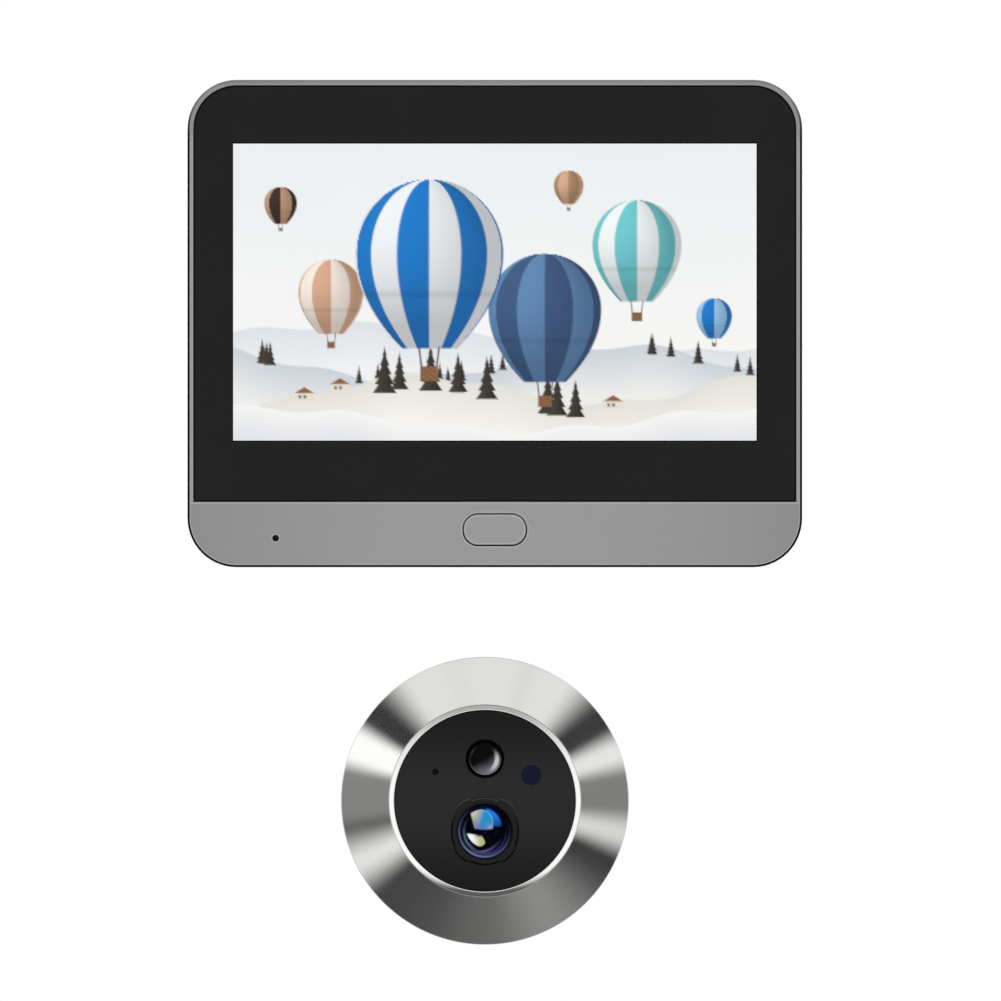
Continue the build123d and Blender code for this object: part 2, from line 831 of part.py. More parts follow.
def plate_recess(grow, y_front, y_back):
    """The pocket that the wall plate lies in, long enough for the lift."""
    width = plate_width + 2 * plate_side_gap + 2 * grow
    top = plate_height / 2 + lift_margin + grow
    bottom = -plate_height / 2 - lift_travel - lift_margin - grow
    return block(width, top - bottom, y_front, y_back, 0, (top + bottom) / 2, plate_corner + grow)


def nut_well(grow, y_front, y_back):
    """The deeper pocket that clears the barrel's end, its nut and the lead."""
    half = washer_radius + lift_margin + grow
    bottom = -half - lift_travel
    return block(2 * half, half - bottom, y_front, y_back, 0, (half + bottom) / 2, well_corner + grow)


def hook_slots():
    """Four slots that the wall plate's hooks enter."""
    height = plate_thickness + lift_travel + lift_margin
    for side in (-1, 1):
        for top in hook_tops:
            yield block(hook_width + 2 * hook_slot_gap, height, recess_floor_y - 1, recess_y + 1,
                        side * hook_x, top - height / 2)


def side_ports():
    """The openings in the right-hand wall for the charging port, card and switch."""
    reach = case_wall + 2
    wall_x = housing_side_x - case_wall / 2
    usb_middle_y = board_back_y + usb_height / 2
    plane = Plane(origin=(housing_side_x + 1, usb_middle_y, usb_z), x_dir=(0, 0, 1), z_dir=(-1, 0, 0))
    port = RectangleRounded(usb_width + 2 * port_gap, usb_height + 2 * port_gap, usb_height / 2)
    yield extrude(plane * port, amount=reach)
    half_slot = card_size[2] / 2 + card_slot_gap
    yield block(reach, card_size[1] + 2 * card_slot_gap, card_middle_y() - half_slot,
                card_middle_y() + half_slot, wall_x, card_z)
    scoop_x = housing_side_x + card_scoop_radius - card_scoop_bite
    yield Pos(scoop_x, card_middle_y(), card_z) * Cylinder(card_scoop_radius, card_scoop_height)
    half_slot = knob_side / 2 + knob_slot_gap
    yield block(reach, knob_side + knob_travel + 2 * knob_slot_gap, knob_middle_y() - half_slot,
                knob_middle_y() + half_slot, wall_x, slide_switch_z + knob_travel / 2)


def make_rear_housing():
    """The moulded rear housing that hangs on the wall plate."""
    housing = housing_shell()
    root_y = housing_floor_y + boss_root
    inside = RectangleRounded(housing_width - 2 * boss_trim, housing_height - 2 * boss_trim,
                              housing_corner - boss_trim)
    for x, z in case_screw_points():
        housing += disc(case_head_radius + head_gap + boss_wall, split_y, root_y, x, z) \
            & slab(inside, split_y, root_y)
    housing += plate_recess(recess_wall, recess_floor_y, root_y)
    housing += nut_well(well_wall, well_floor_y, recess_floor_y + boss_root)
    housing -= plate_recess(0, recess_y, 1)
    housing -= nut_well(0, well_y, recess_y + 1)
    for slot in hook_slots():
        housing -= slot
    width, height = camera_socket_size[0], camera_socket_size[1]
    housing -= block(width + 2 * hole_floor, height + 2 * hole_floor, well_floor_y - 1, well_y + 1)
    for x, z in case_screw_points():
        housing -= disc(case_head_radius + head_gap, -door_gap - case_head_depth, 1, x, z)
        housing -= disc(case_screw_radius + hole_gap, split_y - 1, 0, x, z)
    for port in side_ports():
        housing -= port
    first_x = speaker_x - grille_pitch * (grille_slots - 1) / 2
    for index in range(grille_slots):
        housing -= block(grille_slot_width, case_wall + 2, speaker_y - grille_slot_length / 2,
                         speaker_y + grille_slot_length / 2, first_x + index * grille_pitch,
                         inner_bottom_z - case_wall / 2)
    return housing


def make_case_screws():
    """Four long screws, sunk in the rear housing."""
    seat_y = -door_gap - case_head_depth
    return together(screw(x, z, seat_y, case_screw_radius, case_head_radius, case_head_height,
                          seat_y - split_y + case_screw_grip) for x, z in case_screw_points())


def make_wall_plate():
    """The steel wall plate: four bent hooks, the barrel hole and four screw holes."""
    plate = block(plate_width, plate_height, -plate_thickness, 0, corner=plate_corner)
    plate -= disc(barrel_hole_radius, -plate_thickness - 1, 1)
    for side_x in (-1, 1):
        for side_z in (-1, 1):
            plate -= disc(plate_screw_radius, -plate_thickness - 1, 1, side_x * plate_screw_spacing[0] / 2,
                          side_z * plate_screw_spacing[1] / 2)
    lip_back_y = recess_floor_y - hook_play
    lip_front_y = lip_back_y - plate_thickness
    for side in (-1, 1):
        for top in hook_tops:
            window_height = 2 * plate_thickness + hook_overlap + hook_window_gap
            plate -= block(hook_width + 2 * hook_window_gap, window_height, -plate_thickness - 1, 1,
                           side * hook_x, top - plate_thickness - window_height / 2)
            web = block(hook_width, plate_thickness, lip_front_y, -plate_thickness, side * hook_x,
                        top - plate_thickness / 2)
            lip = block(hook_width, plate_thickness + hook_overlap, lip_front_y, lip_back_y, side * hook_x,
                        top - plate_thickness + (plate_thickness + hook_overlap) / 2)
            hook = web + lip
            bend = hook.edges().filter_by(Axis.X).sort_by(Axis.Y)[:2].sort_by(Axis.Z)
            plate += fillet(bend, hook_corner)
    return plate


def around_camera(angle, radius):
    """A point on a circle about the outdoor camera's axis."""
    return camera_x + radius * cos(radians(angle)), camera_z + radius * sin(radians(angle))


def cup_screw_points():
    """The three screws that hold the rear cup in the trim ring."""
    return [around_camera(angle, cup_screw_ring) for angle in (90, 210, 330)]


def barrel_screw_points():
    """The three screws that hold the barrel's flange."""
    return [around_camera(angle, barrel_screw_ring) for angle in (30, 150, 270)]


def camera_post_points():
    """The three posts that carry the camera board."""
    return [around_camera(angle, camera_post_ring) for angle in (60, 180, 300)]


def make_trim_ring():
    """The turned metal ring: a rim, a wide cone, and a bevelled lip round the window."""
    slope = cone_height / (rose_radius - cone_top_radius)
    inner_radius = rose_radius - ring_wall
    inner_cone_y = cone_y + rim_step
    shelf_cone_radius = inner_radius - (inner_cone_y - shelf_back_y) / slope
    shelf_radius = window_radius - window_shelf
    profile = [
        (inner_radius, rose_back_y), (inner_radius, inner_cone_y), (shelf_cone_radius, shelf_back_y),
        (shelf_radius, shelf_back_y), (shelf_radius, shelf_y), (window_radius, shelf_y),
        (window_radius, window_y), (cone_top_radius - lip_flat, lip_y), (cone_top_radius, lip_y),
        (rose_radius, cone_y), (rose_radius, rose_back_y),
    ]
    body = turned(profile, camera_x, camera_z)
    boss_y = shelf_back_y + cup_boss_start
    for x, z in cup_screw_points():
        body += disc(case_screw_radius + screw_gap + boss_wall, boss_y, cup_front_y, x, z)
        body -= disc(case_screw_radius + screw_gap, boss_y + hole_floor, cup_front_y + 1, x, z)
    return body


def lens_flange_outline(gap):
    """The lens flange: a circle with four wider lobes on the diagonals."""
    outline = Circle(lens_flange_radius + gap)
    wedge_reach = 2 * lens_lobe_radius
    for quarter in range(4):
        middle = 45 + 90 * quarter
        half = lens_lobe_angle / 2
        corners = [(0, 0)]
        for angle in (middle - half, middle + half):
            corners.append((wedge_reach * cos(radians(angle)), wedge_reach * sin(radians(angle))))
        outline += Circle(lens_lobe_radius + gap) & make_face(Polyline(*corners, close=True))
    return Pos(camera_x, camera_z - lens_drop) * outline


def make_camera_window():
    """The dark window, with openings for the lens, the sensors and the microphone."""
    window = disc(window_radius - window_gap, window_y, window_back_y, camera_x, camera_z)
    window -= slab(lens_flange_outline(cup_gap), window_y - 1, window_back_y + 1)
    window -= disc(dome_hole_radius, window_y - 1, window_back_y + 1, camera_x, camera_z + dome_rise)
    window -= disc(light_radius + window_gap, window_y - 1, window_back_y + 1,
                   camera_x + light_place[0], camera_z + light_place[1])
    window -= disc(sound_hole_radius, window_y - 1, window_back_y + 1,
                   camera_x + outdoor_mic_place[0], camera_z + outdoor_mic_place[1])
    return window


def make_window_seal():
    """The thin seal that the window sits on."""
    return ring(window_radius - window_gap, window_radius - window_shelf, window_back_y, shelf_y,
                camera_x, camera_z)


def cap_depth(radius, curve):
    """How far a spherical face falls back at a radius from its axis."""
    return curve - sqrt(curve ** 2 - radius ** 2)


def make_lens_barrel():
    """The lens barrel: a notched flange, a stepped bore and a tube in the holder."""
    z = camera_z - lens_drop
    front_seat_y = lens_y + lens_setback + cap_depth(front_element_radius, front_element_curve) \
        + front_element_edge
    rear_seat_y = front_seat_y + element_gap + cap_depth(rear_element_radius, rear_element_curve) \
        + rear_element_edge
    tube_back_y = holder_y + tube_seat_depth
    flange = slab(lens_flange_outline(0), lens_y, lens_y + lens_flange_thickness)
    barrel = flange + disc(lens_tube_radius, lens_y, tube_back_y, camera_x, z)
    barrel -= disc(lens_opening_radius, lens_y - 1, front_seat_y, camera_x, z)
    barrel -= disc(rear_element_radius + window_gap, front_seat_y - 1, rear_seat_y, camera_x, z)
    return barrel - disc(rear_element_radius - lens_stop_wall, rear_seat_y - 1, tube_back_y + 1, camera_x, z)


def lens_element(radius, curve, vertex_y, edge):
    """A lens with a domed front and a flat back."""
    depth = cap_depth(radius, curve)
    back_y = vertex_y + depth + edge
    dome = Pos(camera_x, vertex_y + curve, camera_z - lens_drop) * Sphere(curve)
    return dome & disc(radius, vertex_y - 1, back_y, camera_x, camera_z - lens_drop)


def make_lens_front():
    """The lens's front glass."""
    return lens_element(front_element_radius, front_element_curve, lens_y + lens_setback, front_element_edge)


def make_lens_rear():
    """The lens's second glass, on the step behind the front one."""
    front_seat_y = lens_y + lens_setback + cap_depth(front_element_radius, front_element_curve) \
        + front_element_edge
    return lens_element(rear_element_radius, rear_element_curve, front_seat_y + element_gap,
                        rear_element_edge)


def make_lens_holder():
    """The square holder that carries the lens over the image sensor."""
    z = camera_z - lens_drop
    holder = block(holder_side, holder_side, holder_y, camera_board_y, camera_x, z, holder_corner)
    holder -= disc(lens_tube_radius + window_gap, holder_y - 1, holder_y + tube_seat_depth, camera_x, z)
    return holder - block(sensor_cavity, sensor_cavity, holder_y, camera_board_y + 1, camera_x, z)


def make_image_sensor():
    """The image sensor chip."""
    return block(sensor_chip_size[0], sensor_chip_size[1], chip_y, camera_board_y, camera_x,
                 camera_z - lens_drop)


def make_camera_board():
    """The round board of the outdoor camera."""
    board = disc(camera_board_radius, camera_board_y, camera_board_back_y, camera_x, camera_z)
    for x, z in camera_post_points():
        board -= disc(camera_pin_radius + hole_gap, camera_board_y - 1, camera_board_back_y + 1, x, z)
    return board


def make_lead_socket():
    """The socket for the lead, over the mouth of the barrel."""
    width, height, depth = lead_socket_size
    socket = block(width, height, camera_board_back_y, camera_board_back_y + depth, camera_x, camera_z)
    return socket - block(width - 2 * socket_wall, height - 2 * socket_wall,
                          camera_board_back_y + socket_floor, camera_board_back_y + depth + 1,
                          camera_x, camera_z)


def make_sensor_bezel():
    """The black ring round the motion sensor's dome."""
    return ring(dome_hole_radius - window_gap, dome_radius + window_gap, window_y + bezel_setback,
                window_back_y, camera_x, camera_z + dome_rise)


def make_sensor_dome():
    """The motion sensor's dome lens, with a collar behind the window."""
    z = camera_z + dome_rise
    base_y = window_y + dome_setback
    back_y = window_back_y + dome_collar
    curve = (dome_radius ** 2 + dome_height ** 2) / (2 * dome_height)
    ball = Pos(camera_x, base_y - dome_height + curve, z) * Sphere(curve)
    dome = (ball & disc(dome_radius, base_y - 2 * dome_height, base_y + dome_floor, camera_x, z)) \
        + disc(dome_radius, base_y, back_y, camera_x, z)
    return dome - disc(dome_radius - dome_wall, base_y + dome_floor, back_y + 1, camera_x, z)


def make_motion_sensor():
    """The motion sensor's can on the board."""
    z = camera_z + dome_rise
    can = disc(motion_can_radius, camera_board_y - motion_can_height, camera_board_y, camera_x, z)
    return can + disc(motion_can_radius + motion_flange, camera_board_y - motion_flange, camera_board_y,
                      camera_x, z)


def make_light_filter():
    """The tinted disc over the light sensor."""
    return disc(light_radius, window_y, window_back_y, camera_x + light_place[0], camera_z + light_place[1])


def make_light_sensor():
    """The light sensor chip on the board."""
    return block(light_chip_size[0], light_chip_size[1], camera_board_y - light_chip_size[2], camera_board_y,
                 camera_x + light_place[0], camera_z + light_place[1])


def make_outdoor_mic_boot():
    """The rubber boot that leads the sound from the window to the outdoor microphone."""
    x = camera_x + outdoor_mic_place[0]
    z = camera_z + outdoor_mic_place[1]
    cup_y = camera_board_y - outdoor_mic_thickness - head_gap
    boot = disc(mic_radius + screw_gap + outdoor_boot_wall, window_back_y, camera_board_y, x, z)
    boot -= disc(mic_radius + screw_gap, cup_y, camera_board_y + 1, x, z)
    return boot - disc(sound_hole_radius, window_back_y - 1, camera_board_y, x, z)


def make_outdoor_microphone():
    """The outdoor microphone capsule."""
    return disc(mic_radius, camera_board_y - outdoor_mic_thickness, camera_board_y,
                camera_x + outdoor_mic_place[0], camera_z + outdoor_mic_place[1])


def make_rear_cup():
    """The cup that closes the trim ring: board posts, screw holes and the barrel's seat."""
    radius = rose_radius - ring_wall - cup_gap
    cup = disc(radius, cup_front_y, rose_back_y, camera_x, camera_z)
    cup -= disc(barrel_flange_radius + cup_gap, barrel_back_y, rose_back_y + 1, camera_x, camera_z)
    cup -= disc(barrel_bore, cup_front_y - 1, rose_back_y + 1, camera_x, camera_z)
    for x, z in cup_screw_points():
        cup -= disc(case_head_radius + head_gap, rose_back_y - case_head_height, rose_back_y + 1, x, z)
        cup -= disc(case_screw_radius + hole_gap, cup_front_y - 1, rose_back_y, x, z)
    for x, z in barrel_screw_points():
        cup -= disc(small_screw_radius + hole_gap, cup_front_y - 1, rose_back_y, x, z)
    for x, z in camera_post_points():
        cup += disc(camera_post_radius, camera_board_back_y, cup_front_y, x, z)
        cup += disc(camera_pin_radius, camera_board_y - camera_pin_inset, cup_front_y, x, z)
    return cup


def make_cup_screws():
    """Three screws through the rear cup into the trim ring."""
    seat_y = rose_back_y - case_head_height
    return together(screw(x, z, seat_y, case_screw_radius, case_head_radius, case_head_height - screw_gap,
                          cup_floor - case_head_height + cup_screw_grip) for x, z in cup_screw_points())


def make_threaded_barrel():
    """The hollow barrel that passes through the door, with its flange in the rear cup."""
    barrel = disc(barrel_radius, barrel_back_y, barrel_length, camera_x, camera_z)
    barrel = chamfer(barrel.faces().sort_by(Axis.Y)[-1].edges(), barrel_chamfer)
    barrel += disc(barrel_flange_radius, barrel_back_y, rose_back_y, camera_x, camera_z)
    barrel -= disc(barrel_bore, barrel_back_y - 1, barrel_length + 1, camera_x, camera_z)
    for x, z in barrel_screw_points():
        barrel -= disc(small_screw_radius + screw_gap, barrel_back_y - 1,
                       rose_back_y - barrel_screw_floor, x, z)
    return barrel


def make_barrel_screws():
    """Three screws from inside the cup into the barrel's flange."""
    length = cup_floor - 2 * barrel_screw_floor
    flipped = [screw(x, z, 0, small_screw_radius, small_head_radius, small_head_height * 0.85, length)
               for x, z in barrel_screw_points()]
    seat = Plane(origin=(0, cup_front_y / 2, 0), z_dir=(0, 1, 0))
    return together(mirror(piece, about=seat) for piece in flipped)


def make_door_seal():
    """The foam ring between the outdoor camera and the door."""
    return ring(rose_radius - door_seal_inset, barrel_radius + barrel_seal_gap, rose_back_y, 0,
                camera_x, camera_z)


def make_lead_grommet():
    """The rubber grommet in the barrel's end, with the hole for the lead."""
    grommet = disc(barrel_bore - screw_gap, barrel_length - grommet_length, barrel_length, camera_x, camera_z)
    lid = disc(barrel_radius - barrel_chamfer - cup_gap, barrel_length, barrel_length + grommet_lid,
               camera_x, camera_z)
    return grommet + lid - disc(cord_hole_radius, 0, barrel_length + 2, camera_x, camera_z)


def make_clamp_washer():
    """The washer that bears on the inner face of the door."""
    hole_radius = barrel_radius + washer_gap
    return ring(washer_radius, hole_radius, clamped_thickness, washer_back_y, camera_x, camera_z)


def make_sleeve_nut():
    """The fluted nut on the barrel."""
    body = disc(nut_radius, washer_back_y, nut_back_y, camera_x, camera_z)
    body = chamfer(body.faces().sort_by(Axis.Y)[-1].edges(), nut_chamfer)
    for index in range(nut_flutes):
        x, z = around_camera(360 * index / nut_flutes, nut_radius + nut_flute_radius - nut_flute_bite)
        body -= disc(nut_flute_radius, washer_back_y - 1, nut_back_y + 1, x, z)
    body += disc(nut_flange_radius, washer_back_y, washer_back_y + nut_flange, camera_x, camera_z)
    return body - disc(barrel_radius + nut_gap, washer_back_y - 1, nut_back_y + 1, camera_x, camera_z)


makers = {
    "front_frame": make_front_frame,
    "screen_glass": make_screen_glass,
    "glass_tape": make_glass_tape,
    "screen_foam": make_screen_foam,
    "lcd_panel": make_lcd_panel,
    "lcd_tray": make_lcd_tray,
    "tray_screws": make_tray_screws,
    "lcd_ribbon": make_lcd_ribbon,
    "ribbon_socket": make_ribbon_socket,
    "function_button": make_function_button,
    "button_pad": make_button_pad,
    "button_switch": make_button_switch,
    "button_board": make_button_board,
    "button_screws": make_button_screws,
    "microphone_boot": make_microphone_boot,
    "microphone": make_microphone,
    "main_board": make_main_board,
    "board_screws": make_board_screws,
    "processor_shield": make_processor_shield,
    "wifi_module": make_wifi_module,
    "wifi_antenna": make_wifi_antenna,
    "camera_socket": make_camera_socket,
    "usb_port": make_usb_port,
    "card_socket": make_card_socket,
    "memory_card": make_memory_card,
    "power_switch": make_power_switch,
    "power_knob": make_power_knob,
    "battery_pack": make_battery_pack,
    "battery_pad": make_battery_pad,
    "speaker": make_speaker,
    "rear_housing": make_rear_housing,
    "case_screws": make_case_screws,
    "wall_plate": make_wall_plate,
    "trim_ring": make_trim_ring,
    "camera_window": make_camera_window,
    "window_seal": make_window_seal,
    "lens_barrel": make_lens_barrel,
    "lens_front": make_lens_front,
    "lens_rear": make_lens_rear,
    "lens_holder": make_lens_holder,
    "image_sensor": make_image_sensor,
    "camera_board": make_camera_board,
    "lead_socket": make_lead_socket,
    "sensor_bezel": make_sensor_bezel,
    "sensor_dome": make_sensor_dome,
    "motion_sensor": make_motion_sensor,
    "light_filter": make_light_filter,
    "light_sensor": make_light_sensor,
    "outdoor_mic_boot": make_outdoor_mic_boot,
    "outdoor_microphone": make_outdoor_microphone,
    "rear_cup": make_rear_cup,
    "cup_screws": make_cup_screws,
    "threaded_barrel": make_threaded_barrel,
    "barrel_screws": make_barrel_screws,
    "door_seal": make_door_seal,
    "lead_grommet": make_lead_grommet,
    "clamp_washer": make_clamp_washer,
    "sleeve_nut": make_sleeve_nut,
}

os.makedirs("parts", exist_ok=True)
for name, maker in makers.items():
    export_step(maker(), f"parts/{name}.step")
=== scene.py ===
import bpy
import bmesh
import json
from math import pi
import numpy as np
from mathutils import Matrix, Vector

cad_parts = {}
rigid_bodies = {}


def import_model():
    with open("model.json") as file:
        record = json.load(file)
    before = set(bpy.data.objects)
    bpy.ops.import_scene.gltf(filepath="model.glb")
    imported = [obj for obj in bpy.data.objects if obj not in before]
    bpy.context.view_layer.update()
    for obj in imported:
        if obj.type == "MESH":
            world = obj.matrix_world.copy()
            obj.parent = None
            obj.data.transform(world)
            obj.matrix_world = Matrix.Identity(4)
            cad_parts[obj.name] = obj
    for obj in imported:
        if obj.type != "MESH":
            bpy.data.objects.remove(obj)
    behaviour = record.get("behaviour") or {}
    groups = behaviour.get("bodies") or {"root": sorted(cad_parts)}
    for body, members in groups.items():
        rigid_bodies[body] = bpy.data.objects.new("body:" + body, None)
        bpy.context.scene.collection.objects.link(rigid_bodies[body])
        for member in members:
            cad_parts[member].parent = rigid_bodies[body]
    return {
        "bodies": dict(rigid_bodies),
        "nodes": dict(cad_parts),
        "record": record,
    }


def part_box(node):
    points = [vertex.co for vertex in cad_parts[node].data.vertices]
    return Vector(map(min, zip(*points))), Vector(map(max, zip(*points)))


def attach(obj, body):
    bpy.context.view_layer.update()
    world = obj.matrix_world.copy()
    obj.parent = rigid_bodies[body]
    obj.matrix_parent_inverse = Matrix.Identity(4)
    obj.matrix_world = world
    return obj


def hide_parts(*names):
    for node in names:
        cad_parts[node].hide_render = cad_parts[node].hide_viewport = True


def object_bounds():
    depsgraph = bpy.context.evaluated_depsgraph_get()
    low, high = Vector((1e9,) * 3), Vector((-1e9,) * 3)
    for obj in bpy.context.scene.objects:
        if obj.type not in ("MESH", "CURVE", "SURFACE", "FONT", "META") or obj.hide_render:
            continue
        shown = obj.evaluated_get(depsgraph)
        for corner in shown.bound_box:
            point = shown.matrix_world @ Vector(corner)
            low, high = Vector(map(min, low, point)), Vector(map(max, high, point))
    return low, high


# Looks of a door camera: an indoor monitor with a lit screen, and a round outdoor unit with
# a turned metal ring. Metres, X right, Z up, both fronts face -Y.
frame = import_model()
nodes = frame["nodes"]
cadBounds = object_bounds()
mm = 0.001
print("frame loaded:", len(nodes), "nodes")


# Shader building: a Wire is a socket that understands + - * / and comparisons
class Wire:
    def __init__(self, paint, socket):
        self.paint = paint
        self.socket = socket

    def maths(self, operation, *others):
        sockets = dict(enumerate((self, *others)))
        return self.paint.add("ShaderNodeMath", {"operation": operation}, sockets)[0]

    def flipped(self, operation, other):
        return self.paint.add("ShaderNodeMath", {"operation": operation}, {0: other, 1: self})[0]

    def __add__(self, other):
        return self.maths("ADD", other)

    def __sub__(self, other):
        return self.maths("SUBTRACT", other)

    def __rsub__(self, other):
        return self.flipped("SUBTRACT", other)

    def __mul__(self, other):
        return self.maths("MULTIPLY", other)

    def __truediv__(self, other):
        return self.maths("DIVIDE", other)

    def __rtruediv__(self, other):
        return self.flipped("DIVIDE", other)

    def __lt__(self, other):
        return self.maths("LESS_THAN", other)

    def __gt__(self, other):
        return self.maths("GREATER_THAN", other)

    def __abs__(self):
        return self.maths("ABSOLUTE")

    __radd__ = __add__
    __rmul__ = __mul__

    def larger(self, other):
        return self.maths("MAXIMUM", other)

    def smaller(self, other):
        return self.maths("MINIMUM", other)

    # 0 below start, 1 above end, with a soft step between; start may be the larger
    def step(self, start, end):
        settings = {"interpolation_type": "SMOOTHSTEP"}
        sockets = {"Value": self, "From Min": start, "From Max": end}
        return self.paint.add("ShaderNodeMapRange", settings, sockets)["Result"]


class Made:
    def __init__(self, paint, node):
        self.paint = paint
        self.node = node

    def __getitem__(self, key):
        return Wire(self.paint, self.node.outputs[key])


class Paint:
    def __init__(self, tree):
        self.tree = tree
        tree.nodes.clear()

    # settings first, then the values or links of the sockets
    def add(self, kind, settings=None, sockets=None):
        node = self.tree.nodes.new(kind)
        for name, value in (settings or {}).items():
            setattr(node, name, value)
        for key, value in (sockets or {}).items():
            if isinstance(value, Wire):
                self.tree.links.new(value.socket, node.inputs[key])
            else:
                node.inputs[key].default_value = value
        return Made(self, node)

    def place(self):
        return self.add("ShaderNodeTexCoord")["Object"]

    def split(self, vector):
        parts = self.add("ShaderNodeSeparateXYZ", None, {"Vector": vector})
        return parts["X"], parts["Y"], parts["Z"]

    def join(self, x=0.0, y=0.0, z=0.0):
        return self.add("ShaderNodeCombineXYZ", None, {"X": x, "Y": y, "Z": z})["Vector"]

    def noise(self, vector, scale, detail=3.0):
        sockets = {"Vector": vector, "Scale": scale, "Detail": detail}
        return self.add("ShaderNodeTexNoise", None, sockets)["Fac"]

    def mix(self, factor, first, second):
        return self.add("ShaderNodeMix", {"data_type": "RGBA"}, {0: factor, 6: first, 7: second})[2]

    def bump(self, height, strength, depth):
        sockets = {"Height": height, "Strength": strength, "Distance": depth}
        return self.add("ShaderNodeBump", None, sockets)["Normal"]

    def surface(self, sockets):
        shader = self.add("ShaderNodeBsdfPrincipled", None, sockets)["BSDF"]
        self.add("ShaderNodeOutputMaterial", None, {"Surface": shader})


def newFinish(name):
    material = bpy.data.materials.new(name)
    material.use_nodes = True
    return material, Paint(material.node_tree)


def rgba(colour, share=1.0):
    return (colour[0] * share, colour[1] * share, colour[2] * share, 1.0)


# A colour written as it looks on a screen, 0 to 255, as light
def lit(*colour):
    level = np.asarray(colour, float) / 255
    return np.where(level < 0.04045, level / 12.92, ((level + 0.055) / 1.055) ** 2.4)


# Every finish that is one colour with a fine moulded, rolled or brushed surface. Its relief is
# a hundredth of a millimetre where none is given.
plainFinishes = {
    "tape": {"colour": (0.02, 0.02, 0.02), "roughness": 0.8, "grain": 900, "relief": 0.00002},
    "foam": {"colour": (0.02, 0.02, 0.02), "roughness": 0.95, "grain": 2600, "relief": 0.00008},
    "seal_foam": {"colour": (0.03, 0.03, 0.03), "roughness": 0.95, "grain": 2400, "relief": 0.0001},
    "silicone": {"colour": (0.03, 0.03, 0.032), "roughness": 0.55, "grain": 1200},
    "grommet_rubber": {"colour": (0.02, 0.02, 0.02), "roughness": 0.6, "grain": 1500, "relief": 0.00002},
    "panel": {"colour": (0.55, 0.55, 0.56), "roughness": 0.35, "grain": 400, "metallic": 0.8},
    "tray_steel": {"colour": (0.6, 0.6, 0.6), "roughness": 0.3, "grain": 500, "metallic": 1.0},
    "screw_steel": {"colour": (0.5, 0.5, 0.5), "roughness": 0.28, "grain": 1600, "metallic": 1.0},
    "can_steel": {"colour": (0.66, 0.66, 0.65), "roughness": 0.32, "grain": 700, "metallic": 1.0},
    "ribbon": {"colour": (0.5, 0.22, 0.04), "roughness": 0.3, "grain": 300},
    "socket_plastic": {"colour": (0.78, 0.75, 0.66), "roughness": 0.5, "grain": 1800},
    "black_plastic": {"colour": (0.022, 0.022, 0.023), "roughness": 0.5, "grain": 2200},
    "housing_plastic": {"colour": (0.03, 0.03, 0.031), "roughness": 0.52, "grain": 3200, "relief": 0.00003},
    "antenna_film": {"colour": (0.015, 0.015, 0.015), "roughness": 0.4, "grain": 900},
    "battery_film": {"colour": (0.5, 0.52, 0.54), "roughness": 0.35, "grain": 350, "relief": 0.00006,
                     "metallic": 0.6},
    "plate_steel": {"colour": (0.5, 0.5, 0.49), "roughness": 0.42, "grain": 260, "metallic": 0.9},
    "chip": {"colour": (0.025, 0.025, 0.027), "roughness": 0.45, "grain": 2800},
    "bezel_black": {"colour": (0.001, 0.001, 0.001), "roughness": 0.6, "grain": 2600, "gloss": 0.02},
    "barrel_metal": {"colour": (0.62, 0.6, 0.56), "roughness": 0.25, "grain": 900, "metallic": 1.0},
    "nut_brass": {"colour": (0.7, 0.55, 0.27), "roughness": 0.27, "grain": 900, "metallic": 1.0},
}


def plainFinish(name, colour, roughness, grain, relief=0.00001, metallic=0.0, gloss=0.5):
    material, paint = newFinish(name)
    spot = paint.place()
    fine = paint.noise(spot, grain, 4.0)
    broad = paint.noise(spot, grain / 20, 2.0)
    tint = paint.mix(broad * 0.6 + fine * 0.4, rgba(colour, 0.84), rgba(colour, 1.16))
    paint.surface({"Base Color": tint, "Roughness": roughness * 0.8 + broad * (roughness * 0.4),
                   "Metallic": metallic, "Specular IOR Level": gloss,
                   "Normal": paint.bump(fine, 0.6, relief)})
    return material


# A microphone's steel can, with black felt over its front face
def micFinish(name, node, shade):
    low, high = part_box(node)
    material, paint = newFinish(name)
    spot = paint.place()
    x, y, z = paint.split(spot)
    felt = y < low.y + 0.1 * mm
    fuzz = paint.noise(spot, 6000, 3.0)
    steel = paint.mix(fuzz, (0.55, 0.55, 0.54, 1), (0.68, 0.68, 0.67, 1))
    paint.surface({"Base Color": paint.mix(felt, steel, (shade, shade, shade, 1)), "Metallic": 1.0 - felt,
                   "Roughness": 0.3 + felt * 0.65, "Normal": paint.bump(fuzz, 0.5, 0.00001)})
    return material


# Green solder mask over copper lines, with the bare laminate's weave under it
def boardFinish():
    material, paint = newFinish("board")
    spot = paint.place()
    x, y, z = paint.split(spot)
    lane = paint.noise(paint.join(x * 90, 0.0, z * 700), 1.0, 1.0) > 0.56
    pad = paint.add("ShaderNodeTexVoronoi", {"feature": "F1"}, {"Vector": spot, "Scale": 420.0})["Distance"]
    ring = (pad < 0.22) * (pad > 0.12)
    mask = paint.mix(lane, (0.008, 0.07, 0.03, 1), (0.014, 0.12, 0.05, 1))
    tint = paint.mix(ring, mask, (0.6, 0.52, 0.3, 1))
    paint.surface({"Base Color": tint, "Roughness": 0.3 + paint.noise(spot, 500) * 0.15,
                   "Normal": paint.bump(lane + ring, 0.4, 0.00003)})
    return material


# The middle of a node's box as seen from the front, where a round node's axis stands
def middleOf(low, high):
    return (low.x + high.x) / 2, (low.z + high.z) / 2


# The length of a sideways step x and an upward step z together
def reachOf(x, z):
    return (x * x + z * z).maths("SQRT")


